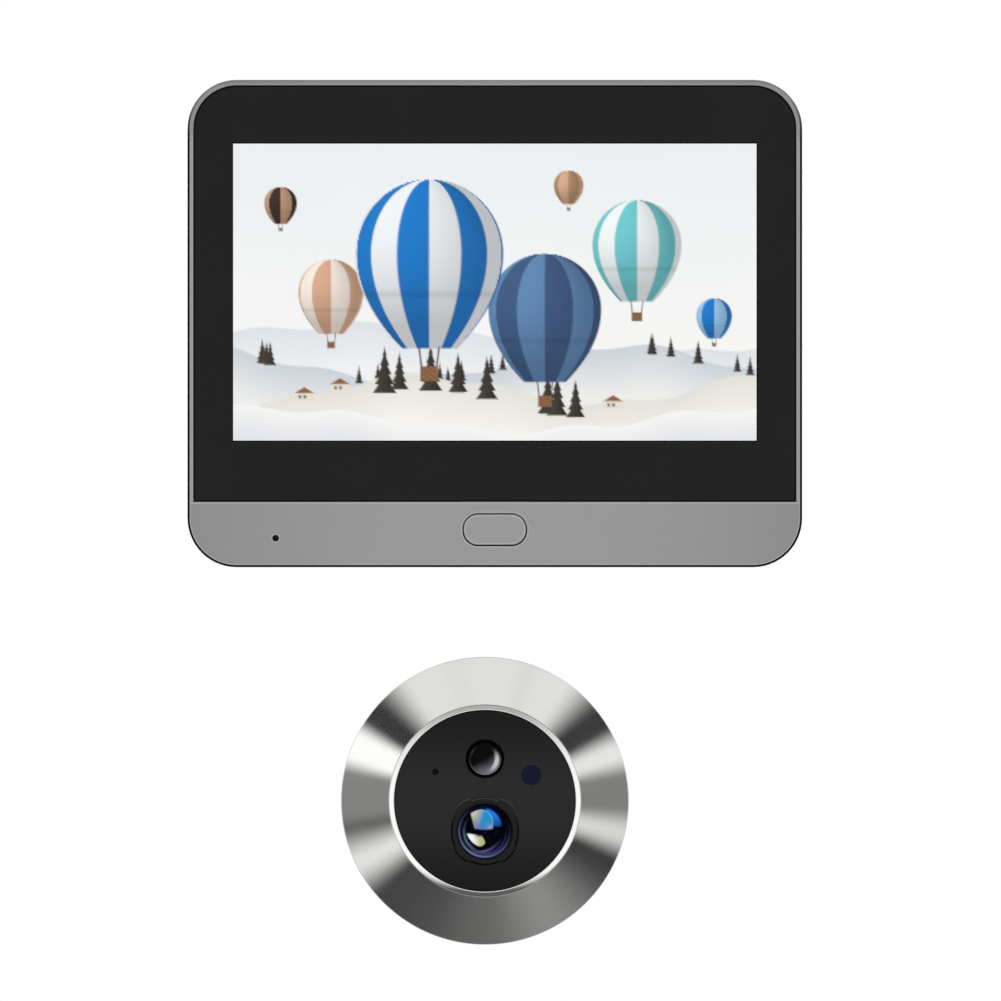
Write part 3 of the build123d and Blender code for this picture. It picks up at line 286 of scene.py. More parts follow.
# How far a point lies inside a rounded rectangle's outline
def roundedDepth(x, z, low, high, corner):
    middleX, middleZ = middleOf(low, high)
    cornerX = abs(x - middleX) - ((high.x - low.x) / 2 - corner)
    cornerZ = abs(z - middleZ) - ((high.z - low.z) / 2 - corner)
    outside = reachOf(cornerX.larger(0.0), cornerZ.larger(0.0))
    return corner - outside - cornerX.larger(cornerZ).smaller(0.0)


# Satin grey paint with fine metal flakes, with painted shade making it a little darker towards the ends and
# along the top border. A dark edge of painted shade runs round the front and fades out at the top, the walls
# of the openings carry painted shade, lighter towards the top beside the button, and fine painted highlight
# lines run beside the edge, the glass, the button and the sound hole.
frameLook = {
    "colour": (0.352, 0.352, 0.354), "metallic": 0.35, "roughness": 0.38, "corner": 8.9 * mm,
    "endFall": 0.17, "topFall": 0.1,
    "edgeColour": (0.004, 0.004, 0.004), "edgeWidth": 0.39 * mm, "edgeDepth": 0.5 * mm,
    "topEdge": 0.22, "fadeStart": 33 * mm, "fadeEnd": 42.5 * mm,
    "wallDepth": 0.9 * mm, "wallStart": 0.25 * mm, "wallTop": (0.13, 0.13, 0.13), "wallFoot": 2 * mm,
    "lineColour": (0.47, 0.47, 0.47), "lineOut": 0.32 * mm, "lineWidth": 0.16 * mm, "lineDepth": 0.05 * mm,
    "besideLine": 0.6, "edgeLine": 0.7, "holeLine": 0.7, "buttonGap": 0.25 * mm, "holeRadius": 0.6 * mm,
}


def frameFinish():
    look = frameLook
    low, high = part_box("front_frame")
    glassLow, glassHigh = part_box("screen_glass")
    buttonLow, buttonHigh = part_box("function_button")
    capLow, capHigh = buttonCap()
    holeX, holeZ = middleOf(*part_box("microphone"))
    material, paint = newFinish("frame_metal")
    spot = paint.place()
    x, y, z = paint.split(spot)
    depth = roundedDepth(x, z, low, high, look["corner"])
    flakes = paint.noise(spot, 4200, 2.0)
    broad = paint.noise(spot, 35, 2.0)
    away = (x / high.x) * (x / high.x)
    tint = paint.mix(flakes * 0.5 + broad * 0.5, rgba(look["colour"], 0.95), rgba(look["colour"], 1.05))
    # painted shade: darker towards the ends and along the top border
    tint = paint.mix(away * look["endFall"] + (z > glassHigh.z) * look["topFall"], tint, (0, 0, 0, 1))

    # fine painted highlight lines beside the edge, the glass, the button and the sound hole
    def highlightAt(distance):
        return abs(distance).step(look["lineWidth"], 0.0)

    out = look["lineOut"]
    beside = highlightAt(abs(x) - glassHigh.x - out) * (z > glassLow.z) * (z < glassHigh.z - look["corner"])
    aroundHole = highlightAt(reachOf(x - holeX, z - holeZ) - look["holeRadius"] - look["lineWidth"])
    capDepth = roundedDepth(x, z, capLow, capHigh, buttonLook["corner"])
    aroundButton = highlightAt(capDepth + look["buttonGap"] + out / 2)
    inEdge = highlightAt(depth - look["edgeWidth"] - out / 3) * (z < look["fadeStart"])
    line = highlightAt(glassLow.z - out - z).larger(inEdge * look["edgeLine"]).larger(beside * look["besideLine"])
    line = line.larger(aroundHole * look["holeLine"]).larger(aroundButton)
    line = line * (y < low.y + look["lineDepth"])
    tint = paint.mix(line, tint, rgba(look["lineColour"]))
    # painted shade: a dark edge round the front, fading out towards the top
    edge = depth.step(look["edgeWidth"] * 1.1, look["edgeWidth"] * 0.9) * (y < low.y + look["edgeDepth"])
    edge = edge * (look["topEdge"] + z.step(look["fadeEnd"], look["fadeStart"]) * (1.0 - look["topEdge"]))
    tint = paint.mix(edge, tint, rgba(look["edgeColour"]))
    # painted shade on the walls of the openings, lighter towards the top beside the button
    wall = (y > low.y + look["wallStart"]) * (depth > look["wallDepth"])
    rise = z.step(buttonLow.z + look["wallFoot"], buttonHigh.z) * (abs(x) < buttonHigh.x)
    tint = paint.mix(wall, tint, paint.mix(rise, rgba(look["edgeColour"]), rgba(look["wallTop"])))
    bare = (1.0 - edge) * (1.0 - wall)
    dull = edge.larger(wall * (1.0 - rise))
    paint.surface({"Base Color": tint, "Metallic": bare * look["metallic"] + dull,
                   "Roughness": look["roughness"] + flakes * 0.05,
                   "Normal": paint.bump(flakes, 0.25, 0.00001)})
    return material


# The button has the frame's paint, with a painted highlight rim just inside its edge and painted shade on its
# sides, lighter towards the top
buttonLook = {"rimDrop": 0.22 * mm, "rimWidth": 0.16 * mm, "rimColour": (0.5, 0.5, 0.5), "corner": 2.6 * mm,
              "sideStart": 0.3 * mm, "flange": 0.7 * mm}


def buttonCap():
    low, high = (corner.copy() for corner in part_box("function_button"))
    low.x, high.x = low.x + buttonLook["flange"], high.x - buttonLook["flange"]
    low.z, high.z = low.z + buttonLook["flange"], high.z - buttonLook["flange"]
    return low, high


def buttonFinish():
    low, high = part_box("function_button")
    capLow, capHigh = buttonCap()
    material, paint = newFinish("button_metal")
    spot = paint.place()
    x, y, z = paint.split(spot)
    depth = roundedDepth(x, z, capLow, capHigh, buttonLook["corner"])
    flakes = paint.noise(spot, 4200, 2.0)
    tint = paint.mix(flakes, rgba(frameLook["colour"], 0.96), rgba(frameLook["colour"], 1.04))
    # painted highlight: a light rim just inside the button's edge
    rim = abs(depth - buttonLook["rimDrop"]).step(buttonLook["rimWidth"], 0.0)
    tint = paint.mix(rim, tint, rgba(buttonLook["rimColour"]))
    # painted shade on the button's sides, lighter towards the top
    side = y > low.y + buttonLook["sideStart"]
    rise = z.step(low.z + frameLook["wallFoot"], high.z)
    tint = paint.mix(side, tint, paint.mix(rise, rgba(frameLook["edgeColour"]), rgba(frameLook["wallTop"])))
    paint.surface({"Base Color": tint, "Metallic": (1.0 - side) * frameLook["metallic"] + side * (1.0 - rise),
                   "Roughness": frameLook["roughness"] + flakes * 0.05,
                   "Normal": paint.bump(flakes, 0.25, 0.00001)})
    return material


# The lit part of the screen, inside the black border of its glass
screen = {
    "width": 94.94 * mm, "height": 53.86 * mm, "topMargin": 5.2 * mm, "behindFace": 0.22 * mm,
    "columns": 416, "rows": 236, "glassBlack": (0.006, 0.006, 0.0065), "glassGloss": 0.19,
    "edgeBlack": (0.006, 0.006, 0.006), "edgeWidth": 0.22 * mm, "matrixBlack": (0.002, 0.002, 0.002),
    "matrixWidth": 0.2 * mm, "glassInset": 1.1 * mm,
}


def screenCentre():
    low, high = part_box("lcd_panel")
    return high.z - screen["topMargin"] - screen["height"] / 2


def glassFinish():
    material, paint = newFinish("cover_glass")
    spot = paint.place()
    x, y, z = paint.split(spot)
    low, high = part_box("screen_glass")
    beyond = (abs(x) - screen["width"] / 2).larger(abs(z - screenCentre()) - screen["height"] / 2)
    window = beyond < 0.0
    smear = paint.noise(spot, 40, 3.0)
    tint = paint.mix(smear, rgba(screen["glassBlack"], 0.8), rgba(screen["glassBlack"], 1.2))
    matrix = beyond.step(screen["matrixWidth"] * 1.3, screen["matrixWidth"] * 0.7) * (1.0 - window)
    corner = frameLook["corner"] - screen["glassInset"]
    inside = roundedDepth(x, z.larger(0.0), low, high, corner).smaller(z - low.z)
    edge = inside.step(screen["edgeWidth"] * 1.3, screen["edgeWidth"] * 0.7)
    tint = paint.mix(edge, tint, rgba(screen["edgeBlack"]))
    tint = paint.mix(matrix, tint, rgba(screen["matrixBlack"]))
    paint.surface({"Base Color": tint, "Roughness": 0.03 + smear * 0.03, "Alpha": 1.0 - window * 0.97,
                   "Metallic": edge.larger(matrix), "Specular IOR Level": screen["glassGloss"]})
    return material


# The line round the lens flange follows its lobes: radius = circle + step over each diagonal, a little wider
# above, with painted light making it lighter above, black below
lensLine = {"circle": 6.0 * mm, "lobe": 0.37 * mm, "lobeAbove": 0.2 * mm, "lobeHalf": 0.335, "lobeSoft": 0.03,
            "lightFrom": 2.2 * mm, "lightTo": 4.6 * mm, "darkFrom": 2.6 * mm, "darkTo": 0.8 * mm,
            "width": 0.16 * mm, "top": (0.055, 0.053, 0.05), "foot": (0.0005, 0.0005, 0.0005)}


def lensLines(paint, x, z):
    axisX, axisZ = middleOf(*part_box("lens_barrel"))
    acrossX = x - axisX
    acrossZ = z - axisZ
    radius = reachOf(acrossX, acrossZ)
    above = acrossZ.step(lensLine["lightFrom"], lensLine["lightTo"])
    away = abs(abs(acrossZ).maths("ARCTAN2", abs(acrossX)) - pi / 4)
    half, soft = lensLine["lobeHalf"], lensLine["lobeSoft"]
    lobe = away.step(half + soft, half - soft)
    outline = lobe * (above * lensLine["lobeAbove"] + lensLine["lobe"]) + lensLine["circle"]
    line = abs(radius - outline).step(lensLine["width"], lensLine["width"] / 2)
    line = line * acrossZ.step(lensLine["darkFrom"], lensLine["darkTo"]).larger(above)
    # painted light: the line's colour is lighter above and black below
    return radius, line, paint.mix(above, rgba(lensLine["foot"]), rgba(lensLine["top"]))


windowLook = {"edge": (0.0036, 0.0036, 0.0038), "middle": (0.0165, 0.0165, 0.0168), "gloss": 0.16}


def windowFinish():
    low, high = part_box("camera_window")
    half = (high.x - low.x) / 2
    material, paint = newFinish("window_acrylic")
    spot = paint.place()
    x, y, z = paint.split(spot)
    rise = abs(z - (high.z + low.z) / 2) / half
    smear = paint.noise(spot, 120, 3.0)
    # painted sheen: the window is lighter across the middle and darker towards the top and bottom
    tint = paint.mix(rise.step(0.15, 1.0), rgba(windowLook["middle"]), rgba(windowLook["edge"]))
    radius, line, rim = lensLines(paint, x, z)
    tint = paint.mix(line, tint, rim)
    paint.surface({"Base Color": tint, "Roughness": 0.12 + smear * 0.06,
                   "Specular IOR Level": windowLook["gloss"]})
    return material


# The lens holder's black flange
flangeLook = {"colour": (0.0165, 0.0165, 0.0162), "inner": (0.0045, 0.0045, 0.005), "gloss": 0.05,
              "fadeStart": 4.8 * mm, "fadeEnd": 5.5 * mm}


def flangeFinish():
    material, paint = newFinish("lens_black")
    spot = paint.place()
    x, y, z = paint.split(spot)
    radius, line, rim = lensLines(paint, x, z)
    grain = paint.noise(spot, 2600, 3.0)
    fade = radius.step(flangeLook["fadeStart"], flangeLook["fadeEnd"])
    face = paint.mix(fade, rgba(flangeLook["inner"]), rgba(flangeLook["colour"]))
    tint = paint.mix(line, face, rim)
    paint.surface({"Base Color": tint, "Roughness": 0.45 + grain * 0.1,
                   "Specular IOR Level": flangeLook["gloss"], "Normal": paint.bump(grain, 0.5, 0.00001)})
    return material


# Turned metal: fine rings about the unit's axis, brighter and duller in turn, with a bright polished lip
# inside a fine dark line of painted shade, and painted shade on the seat behind the window
ringLook = {"colour": (0.925, 0.92, 0.902), "roughness": 0.075, "lipRoughness": 0.05, "ringScale": 5200,
            "relief": 0.0000011, "lineInside": 17.3 * mm, "lineOutside": 17.48 * mm, "lineShade": 0.35}


def ringFinish(axisX, axisZ, windowY):
    material, paint = newFinish("trim_metal")
    spot = paint.place()
    x, y, z = paint.split(spot)
    radius = reachOf(x - axisX, z - axisZ)
    rings = paint.noise(paint.join(radius, 0.0, y), ringLook["ringScale"], 4.0)
    wear = paint.noise(spot, 130, 3.0)
    tint = paint.mix(rings * 0.7 + wear * 0.3, rgba(ringLook["colour"], 0.95), rgba(ringLook["colour"], 1.03))
    # painted shade: a fine dark line along the lip's outer edge
    line = (radius > ringLook["lineInside"]) * (radius < ringLook["lineOutside"])
    tint = paint.mix(line * ringLook["lineShade"], tint, (0, 0, 0, 1))
    # painted shade: the seat behind the window is painted black
    shadedSeat = (radius < ring["windowRadius"] + 0.02 * mm) * (y > windowY + 0.03 * mm)
    tint = paint.mix(shadedSeat, tint, (0.001, 0.001, 0.001, 1))
    turned = radius > ringLook["lineInside"]
    rough = ringLook["lipRoughness"] + turned * (ringLook["roughness"] - ringLook["lipRoughness"])
    paint.surface({"Base Color": tint, "Metallic": 1.0, "Roughness": rough + rings * 0.03,
                   "Normal": paint.bump(rings * turned, 0.5, ringLook["relief"])})
    return material


def filterFinish():
    material, paint = newFinish("filter_blue")
    cloud = paint.noise(paint.place(), 900, 2.0)
    tint = paint.mix(cloud, (0.0035, 0.0055, 0.02, 1), (0.005, 0.0075, 0.026, 1))
    paint.surface({"Base Color": tint, "Roughness": 0.15 + cloud * 0.1, "Specular IOR Level": 0.08})
    return material


# A finish whose colour is stored on the mesh, either lit from inside or plain: the screen's picture glows as
# a screen does, the lens's stored colour is painted reflections that glow, and the dome's is painted shade
# and highlights
def paintedFinish(name, glow, roughness, gloss, base=1.0):
    material, paint = newFinish(name)
    stored = paint.add("ShaderNodeAttribute", {"attribute_name": "tone"})["Color"]
    spark = paint.noise(paint.place(), 3000, 1.0)
    dark = paint.mix(spark, (0.0002, 0.0002, 0.0003, 1), (0.0005, 0.0005, 0.0006, 1))
    sockets = {"Base Color": paint.mix(base, dark, stored), "Specular IOR Level": gloss,
               "Roughness": roughness * 0.9 + spark * (roughness * 0.2)}
    if glow:
        sockets.update({"Emission Color": stored, "Emission Strength": glow})
    paint.surface(sockets)
    return material


def clearFinish():
    material, paint = newFinish("lens_glass")
    dust = paint.noise(paint.place(), 700, 3.0)
    paint.surface({"Base Color": paint.mix(dust, (0.01, 0.012, 0.03, 1), (0.016, 0.018, 0.05, 1)),
                   "Roughness": 0.015 + dust * 0.02, "Alpha": 0.04 + dust * 0.02, "Specular IOR Level": 0.02})
    return material


# Surfaces: grids of points made with numpy
def pieceFromGrid(name, points, closedRows=False, closedColumns=False, faceFront=False, tones=None):
    rows, columns = points.shape[:2]
    row = np.arange(rows if closedRows else rows - 1)[:, None]
    column = np.arange(columns if closedColumns else columns - 1)[None, :]
    nextRow = (row + 1) % rows
    nextColumn = (column + 1) % columns
    quads = np.stack([row * columns + column, nextRow * columns + column,
                      nextRow * columns + nextColumn, row * columns + nextColumn], -1).reshape(-1, 4)
    flat = points.reshape(-1, 3)
    a, b, c, d = (flat[quads[:, k]] for k in range(4))
    area = np.cross(c - a, d - b)
    middle = (a + b + c + d) / 4
    # a sheet faces -Y; a closed shape has a positive volume
    wrongWay = area[:, 1].sum() > 0 if faceFront else (area * middle).sum() < 0
    if wrongWay:
        quads = quads[:, ::-1]
    mesh = bpy.data.meshes.new(name)
    mesh.from_pydata(flat.tolist(), [], quads.tolist())
    if tones is not None:
        layer = mesh.color_attributes.new("tone", "FLOAT_COLOR", "POINT")
        stored = np.ones((len(flat), 4), np.float32)
        stored[:, :3] = tones.reshape(-1, 3)
        layer.data.foreach_set("color", stored.ravel())
    work = bmesh.new()
    work.from_mesh(mesh)
    bmesh.ops.remove_doubles(work, verts=work.verts, dist=1e-8)
    work.to_mesh(mesh)
    work.free()
    mesh.polygons.foreach_set("use_smooth", np.ones(len(mesh.polygons), bool))
    mesh.set_sharp_from_angle(angle=0.6)
    piece = bpy.data.objects.new(name, mesh)
    bpy.context.scene.collection.objects.link(piece)
    return piece


# A closed chain of (radius, y) corners in which each corner with a rounding becomes a short
# curve: p = (1 - t)^2 p0 + 2 t (1 - t) corner + t^2 p1
def softened(corners, roundings, count=7):
    corners = np.asarray(corners, float)
    t = np.linspace(0, 1, count)[:, None]
    parts = []
    for place, (corner, rounding) in enumerate(zip(corners, roundings)):
        if rounding == 0:
            parts.append(corner[None, :])
            continue
        before = corners[place - 1] - corner
        after = corners[(place + 1) % len(corners)] - corner
        first = corner + before / np.linalg.norm(before) * rounding
        last = corner + after / np.linalg.norm(after) * rounding
        parts.append((1 - t) ** 2 * first + 2 * t * (1 - t) * corner + t ** 2 * last)
    return np.concatenate(parts)


# Rows close to both ends of every long run of a closed profile, so that its shading stays flat
def braced(profile, reach=0.06 * mm):
    run = np.roll(profile, -1, 0) - profile
    length = np.maximum(np.linalg.norm(run, axis=1), 1e-12)[:, None]
    long = length[:, 0] > 6 * reach
    rows = np.stack([profile, profile + run / length * reach, profile + run * (1 - reach / length)], 1)
    return rows[np.stack([np.ones_like(long), long, long], 1)]


# A profile turned about a line along Y: x = axisX + r cos a, z = axisZ + r sin a
def turnedPoints(profile, axisX, axisZ, steps):
    angle = np.linspace(0, 2 * pi, steps, endpoint=False)[None, :]
    radius = profile[:, 0][:, None]
    x = axisX + radius * np.cos(angle)
    z = axisZ + radius * np.sin(angle)
    return np.stack([x, np.broadcast_to(profile[:, 1][:, None], x.shape), z], -1)


def dress(piece, material, body, slotName, *replaced):
    piece.data.materials.clear()
    piece.data.materials.append(material)
    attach(piece, body)
    if replaced:
        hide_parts(*replaced)


def dressNode(name, material):
    node = nodes[name]
    if not node.material_slots:
        node.data.materials.append(material)
    for place in range(len(node.material_slots)):
        node.material_slots[place].material = material


# Soft edge of a drawn shape: 1 inside, 0 outside, one cell wide
def inked(distance, cell):
    return np.clip(0.5 - distance / cell, 0, 1)[..., None]


# How far a point lies outside a convex outline, whose corners run clockwise and are rounded:
# the soft largest of the sides' distances, log(sum(exp(k d))) / k
def outlineDistance(x, z, corners, sharpness=9.0):
    corners = np.asarray(corners, float)
    following = np.roll(corners, -1, 0)
    run = following - corners
    length = np.linalg.norm(run, axis=1)
    sides = [(x - c[0]) * -r[1] / n + (z - c[1]) * r[0] / n for c, r, n in zip(corners, run, length)]
    return np.log(np.sum(np.exp(sharpness * np.asarray(sides)), 0)) / sharpness


# The picture on the screen: balloons over pale hills, in whites with blue, turquoise and tan
balloons = [
    {"x": 0.66, "z": 0.63, "size": 0.25, "tones": ((20, 121, 201), (236, 240, 244)), "gores": 7},
    {"x": 1.05, "z": 0.44, "size": 0.19, "tones": ((94, 134, 179), (60, 88, 130)), "gores": 6},
    {"x": 1.36, "z": 0.66, "size": 0.15, "tones": ((111, 200, 208), (238, 244, 244)), "gores": 6},
    {"x": 0.33, "z": 0.50, "size": 0.11, "tones": ((217, 169, 140), (244, 232, 220)), "gores": 5},
    {"x": 0.16, "z": 0.80, "size": 0.055, "tones": ((59, 42, 36), (190, 150, 120)), "gores": 4},
    {"x": 1.62, "z": 0.42, "size": 0.06, "tones": ((20, 121, 201), (150, 196, 232)), "gores": 4},
    {"x": 1.13, "z": 0.86, "size": 0.05, "tones": ((217, 169, 140), (176, 138, 102)), "gores": 4},
]
hills = [
    {"base": 0.34, "swell": 0.05, "turn": 3.1, "phase": 0.4, "top": (226, 231, 236), "foot": (246, 247, 248)},
    {"base": 0.26, "swell": 0.06, "turn": 4.3, "phase": 2.3, "top": (206, 214, 222), "foot": (242, 242, 240)},
    {"base": 0.17, "swell": 0.05, "turn": 5.2, "phase": 4.6, "top": (232, 230, 222), "foot": (250, 248, 243)},
    {"base": 0.07, "swell": 0.04, "turn": 3.7, "phase": 1.2, "top": (250, 250, 250), "foot": (222, 224, 228)},
]


def skyTones(x, z):
    haze = 0.5 + 0.5 * np.sin(5 * x + 3 * np.sin(7 * z)) * np.sin(9 * z + 2 * x)
    high = lit(238, 243, 247)
    low = lit(255, 254, 250)
    blend = np.clip(z * 0.9 - 0.1 * haze, 0, 1)[..., None]
    return low + (high - low) * blend


# Envelope: half width w(h) = size sqrt(1 - h^2) above the middle and size (1 - h^2 / 2.6) below,
# gores by the angle asin(x / w), light from the upper left
def drawBalloon(picture, x, z, cell, balloon):
    size = balloon["size"]
    h = (z - balloon["z"]) / size
    across = x - balloon["x"]
    above = np.sqrt(np.clip(1 - h ** 2, 0, 1))
    below = np.clip(1 - h ** 2 / 2.6, 0, 1)
    width = size * np.where(h > 0, above, below)
    inside = np.maximum(np.abs(across) - width, np.maximum(-1.28 - h, h - 1) * size)
    angle = np.arcsin(np.clip(across / np.maximum(width, 1e-4), -1, 1))
    stripe = 0.5 + 0.5 * np.tanh(14 * np.sin(angle * balloon["gores"]))
    first, second = (lit(*tone) for tone in balloon["tones"])
    tone = first + (second - first) * stripe[..., None]
    light = 0.62 + 0.5 * np.clip(np.cos(angle + 0.7) * np.cos(np.clip(h, -1, 1) - 0.6), 0, 1)
    seam = 1 - 0.12 * np.exp(-((np.sin(angle * balloon["gores"])) / 0.06) ** 2)
    band = 1 - 0.16 * np.exp(-((h + 0.55) / 0.05) ** 2)
    picture += inked(inside, cell) * (np.clip(tone * (light * seam * band)[..., None], 0, 1) - picture)
    basketZ = balloon["z"] - 1.62 * size
    rope = np.maximum(np.abs(np.abs(across) - (0.1 + 0.12 * (h + 1.55)) * size) - 0.012 * size,
                      np.abs(h + 1.4) * size - 0.14 * size)
    picture += inked(rope, cell) * (lit(70, 56, 48) - picture)
    basket = np.maximum(np.abs(across) - 0.12 * size, np.abs(z - basketZ) - 0.1 * size)
    weave = 0.8 + 0.2 * np.sin(z / size * 90) * np.sin(across / size * 60)
    picture += inked(basket, cell) * (lit(150, 108, 72) * weave[..., None] - picture)


# Hills: height base + swell sin(turn x + phase), paler towards the foot
def drawHill(picture, x, z, cell, hill):
    top = hill["base"] + hill["swell"] * np.sin(hill["turn"] * x + hill["phase"])
    top = top + 0.012 * np.sin(17 * x + hill["phase"])
    fall = np.clip((top - z) / 0.16, 0, 1)[..., None]
    tone = lit(*hill["top"]) + (lit(*hill["foot"]) - lit(*hill["top"])) * fall
    picture += inked(z - top, cell) * (tone - picture)


# Pines: half width 0.3 of the way down from the tip, with five saw-toothed tiers
def drawPine(picture, x, z, cell, tipX, tipZ, tall):
    down = (tipZ - z) / tall
    tier = 0.62 + 0.38 * np.mod(down * 5, 1)
    outside = np.maximum(np.abs(x - tipX) - 0.26 * tall * down * tier, np.maximum(-down, down - 1) * tall)
    shade = 1 + 0.5 * np.clip((tipX - x) / (0.2 * tall), -1, 1)
    picture += inked(outside, cell) * (lit(58, 52, 44) * shade[..., None] - picture)


def drawHouse(picture, x, z, cell, centreX, foot, size):
    wall = np.maximum(np.abs(x - centreX) - size, np.abs(z - foot - 0.45 * size) - 0.45 * size)
    picture += inked(wall, cell) * (lit(236, 226, 210) - picture)
    roof = np.maximum(np.abs(x - centreX) * 0.62 + (z - foot - 1.55 * size), foot + 0.86 * size - z)
    picture += inked(roof, cell) * (lit(150, 96, 70) - picture)
    for side in (-0.5, 0.05):
        pane = np.maximum(np.abs(x - centreX - side * size) - 0.14 * size,
                          np.abs(z - foot - 0.45 * size) - 0.17 * size)
        picture += inked(pane, cell) * (lit(70, 92, 118) - picture)


def screenTones(columns, rows):
    wide = screen["width"] / screen["height"]
    x, z = np.meshgrid(np.linspace(0, wide, columns), np.linspace(0, 1, rows))
    cell = 1.1 / rows
    picture = skyTones(x, z)
    scatter = np.random.default_rng(5)
    for place, hill in enumerate(hills):
        drawHill(picture, x, z, cell, hill)
        if place == 1:
            for tipX in np.sort(scatter.uniform(0.02, wide - 0.02, 22)):
                tall = scatter.uniform(0.05, 0.085)
                foot = 0.26 + 0.06 * np.sin(4.3 * tipX + 2.3)
                drawPine(picture, x, z, cell, tipX, foot + tall * 0.7, tall)
        if place == 2:
            for houseX in (0.24, 0.36, 1.28):
                drawHouse(picture, x, z, cell, houseX, 0.155 + 0.05 * np.sin(5.2 * houseX + 4.6), 0.03)
            for tipX in np.sort(scatter.uniform(0.5, 1.2, 9)):
                tall = scatter.uniform(0.1, 0.16)
                foot = 0.15 + 0.05 * np.sin(5.2 * tipX + 4.6)
                drawPine(picture, x, z, cell, tipX, foot + tall * 0.8, tall)
    for balloon in sorted(balloons, key=lambda entry: entry["size"]):
        drawBalloon(picture, x, z, cell, balloon)
    return picture


def makeScreen():
    low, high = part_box("lcd_panel")
    columns, rows = screen["columns"], screen["rows"]
    across = np.linspace(-screen["width"] / 2, screen["width"] / 2, columns)
    up = np.linspace(-screen["height"] / 2, screen["height"] / 2, rows) + screenCentre()
    x, z = np.meshgrid(across, up)
    points = np.stack([x, np.full_like(x, low.y + screen["behindFace"]), z], -1)
    piece = pieceFromGrid("screen_picture", points, faceFront=True, tones=screenTones(columns, rows))
    dress(piece, paintedFinish("screen_picture", 1.0, 0.3, 0.2, 0.0), "monitor", "panel")


# The trim ring's section, from the rim's back round its front to the window's shelf
ring = {
    "lipRadius": 17.47 * mm, "lineWidth": 0.13 * mm, "windowRadius": 16.5 * mm, "coneDepth": 6.0 * mm,
    "bevelDepth": 0.7 * mm, "shelfRadius": 15.2 * mm, "wall": 2.0 * mm, "steps": 360,
    "rimRound": 0.05 * mm, "rimStep": 0.06 * mm, "rimDepth": 0.45 * mm, "backRound": 0.1 * mm,
    "lipRound": 0.03 * mm, "lipCrown": 0.01 * mm, "seatDepth": 1.5 * mm, "shelfDepth": 2.5 * mm,
    "wallDrop": 0.8 * mm,
}


def makeTrimRing():
    low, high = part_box("trim_ring")
    axisX, axisZ = middleOf(low, high)
    outer = (high.x - low.x) / 2
    coneY = low.y + ring["coneDepth"]
    windowY = low.y + ring["bevelDepth"]
    lineRadius = ring["windowRadius"] + ring["lineWidth"]
    seatY = windowY + ring["seatDepth"]
    inner = outer - ring["wall"]
    corners = [
        (outer, high.y), (outer, coneY + ring["rimDepth"]), (outer - ring["rimStep"], coneY),
        (ring["lipRadius"], low.y), (lineRadius, windowY), (ring["windowRadius"], windowY),
        (ring["windowRadius"], seatY), (ring["shelfRadius"], seatY),
        (ring["shelfRadius"], windowY + ring["shelfDepth"]), (inner, coneY + ring["wallDrop"]),
        (inner, high.y),
    ]
    roundings = [ring["backRound"], ring["backRound"], ring["rimRound"], ring["lipRound"]]
    roundings += [0] * (len(corners) - len(roundings))
    profile = softened(corners, roundings)
    # the lip is crowned: y falls by crown 4 t (1 - t) between its two edges
    foot = int(np.argmin(np.hypot(profile[:, 0] - lineRadius, profile[:, 1] - windowY)))
    t = np.linspace(0, 1, 9)[1:-1, None]
    lip = profile[foot - 1] + t * (profile[foot] - profile[foot - 1])
    lip[:, 1] -= ring["lipCrown"] * 4 * t[:, 0] * (1 - t[:, 0])
    profile = braced(np.concatenate([profile[:foot], lip, profile[foot:]]))
    points = turnedPoints(profile, axisX, axisZ, ring["steps"])
    piece = pieceFromGrid("trim_ring_turned", points, closedRows=True, closedColumns=True)
    dress(piece, ringFinish(axisX, axisZ, windowY), "door_fixed", "trim_metal", "trim_ring")


# Painted reflections inside the lens, in millimetres from its axis: coated rims as rings of painted
# reflection, each brightest towards one side (about the axis where no middle is given), and painted
# reflections of the room's lights as soft-edged patches
lensPaintedRims = [
    {"middle": (-0.1, 0.02), "radius": 4.65, "width": 0.26, "turn": 244, "spread": 0.6,
     "tone": (104, 114, 158)},
    {"middle": (-0.1, 0.02), "radius": 4.70, "width": 0.24, "turn": 186, "spread": 0.34,
     "tone": (82, 87, 122)},
    {"middle": (-0.1, 0.02), "radius": 4.66, "width": 0.22, "turn": 300, "spread": 0.34,
     "tone": (78, 80, 128)},
    {"radius": 4.30, "width": 0.45, "turn": 90, "spread": 0.2, "tone": (8, 12, 54)},
    {"radius": 4.06, "width": 0.2, "turn": 268, "spread": 0.4, "tone": (62, 68, 122)},
    {"radius": 3.86, "width": 0.17, "turn": 320, "spread": 0.3, "tone": (32, 32, 80)},
    {"middle": (-1.2, 0.95), "radius": 4.72, "width": 0.2, "turn": 282, "spread": 0.24,
     "tone": (90, 94, 138)},
    {"radius": 3.80, "width": 0.2, "turn": 209, "spread": 0.32, "tone": (86, 106, 122)},
]
lensPaintedPatches = {
    "sky": [(0.2, 4.15), (1.25, 3.85), (2.2, 3.1), (2.85, 2.0), (3.0, 1.1), (2.6, 0.75), (1.75, 0.9),
            (1.1, 1.9), (0.2, 3.6)],
    "room": [(-2.7, 3.2), (-1.7, 3.78), (-0.4, 4.02), (0.75, 3.5), (1.4, 2.55), (1.64, 1.4), (1.45, 0.42),
             (0.25, 0.22), (-1.1, 0.3), (-2.0, 0.46), (-2.3, 1.8)],
    "floor": [(-3.26, -0.4), (-1.2, -0.66), (-0.5, -0.85), (0.08, -2.05), (-0.3, -2.6), (-1.04, -2.8),
              (-2.0, -2.3), (-2.9, -1.3)],
}


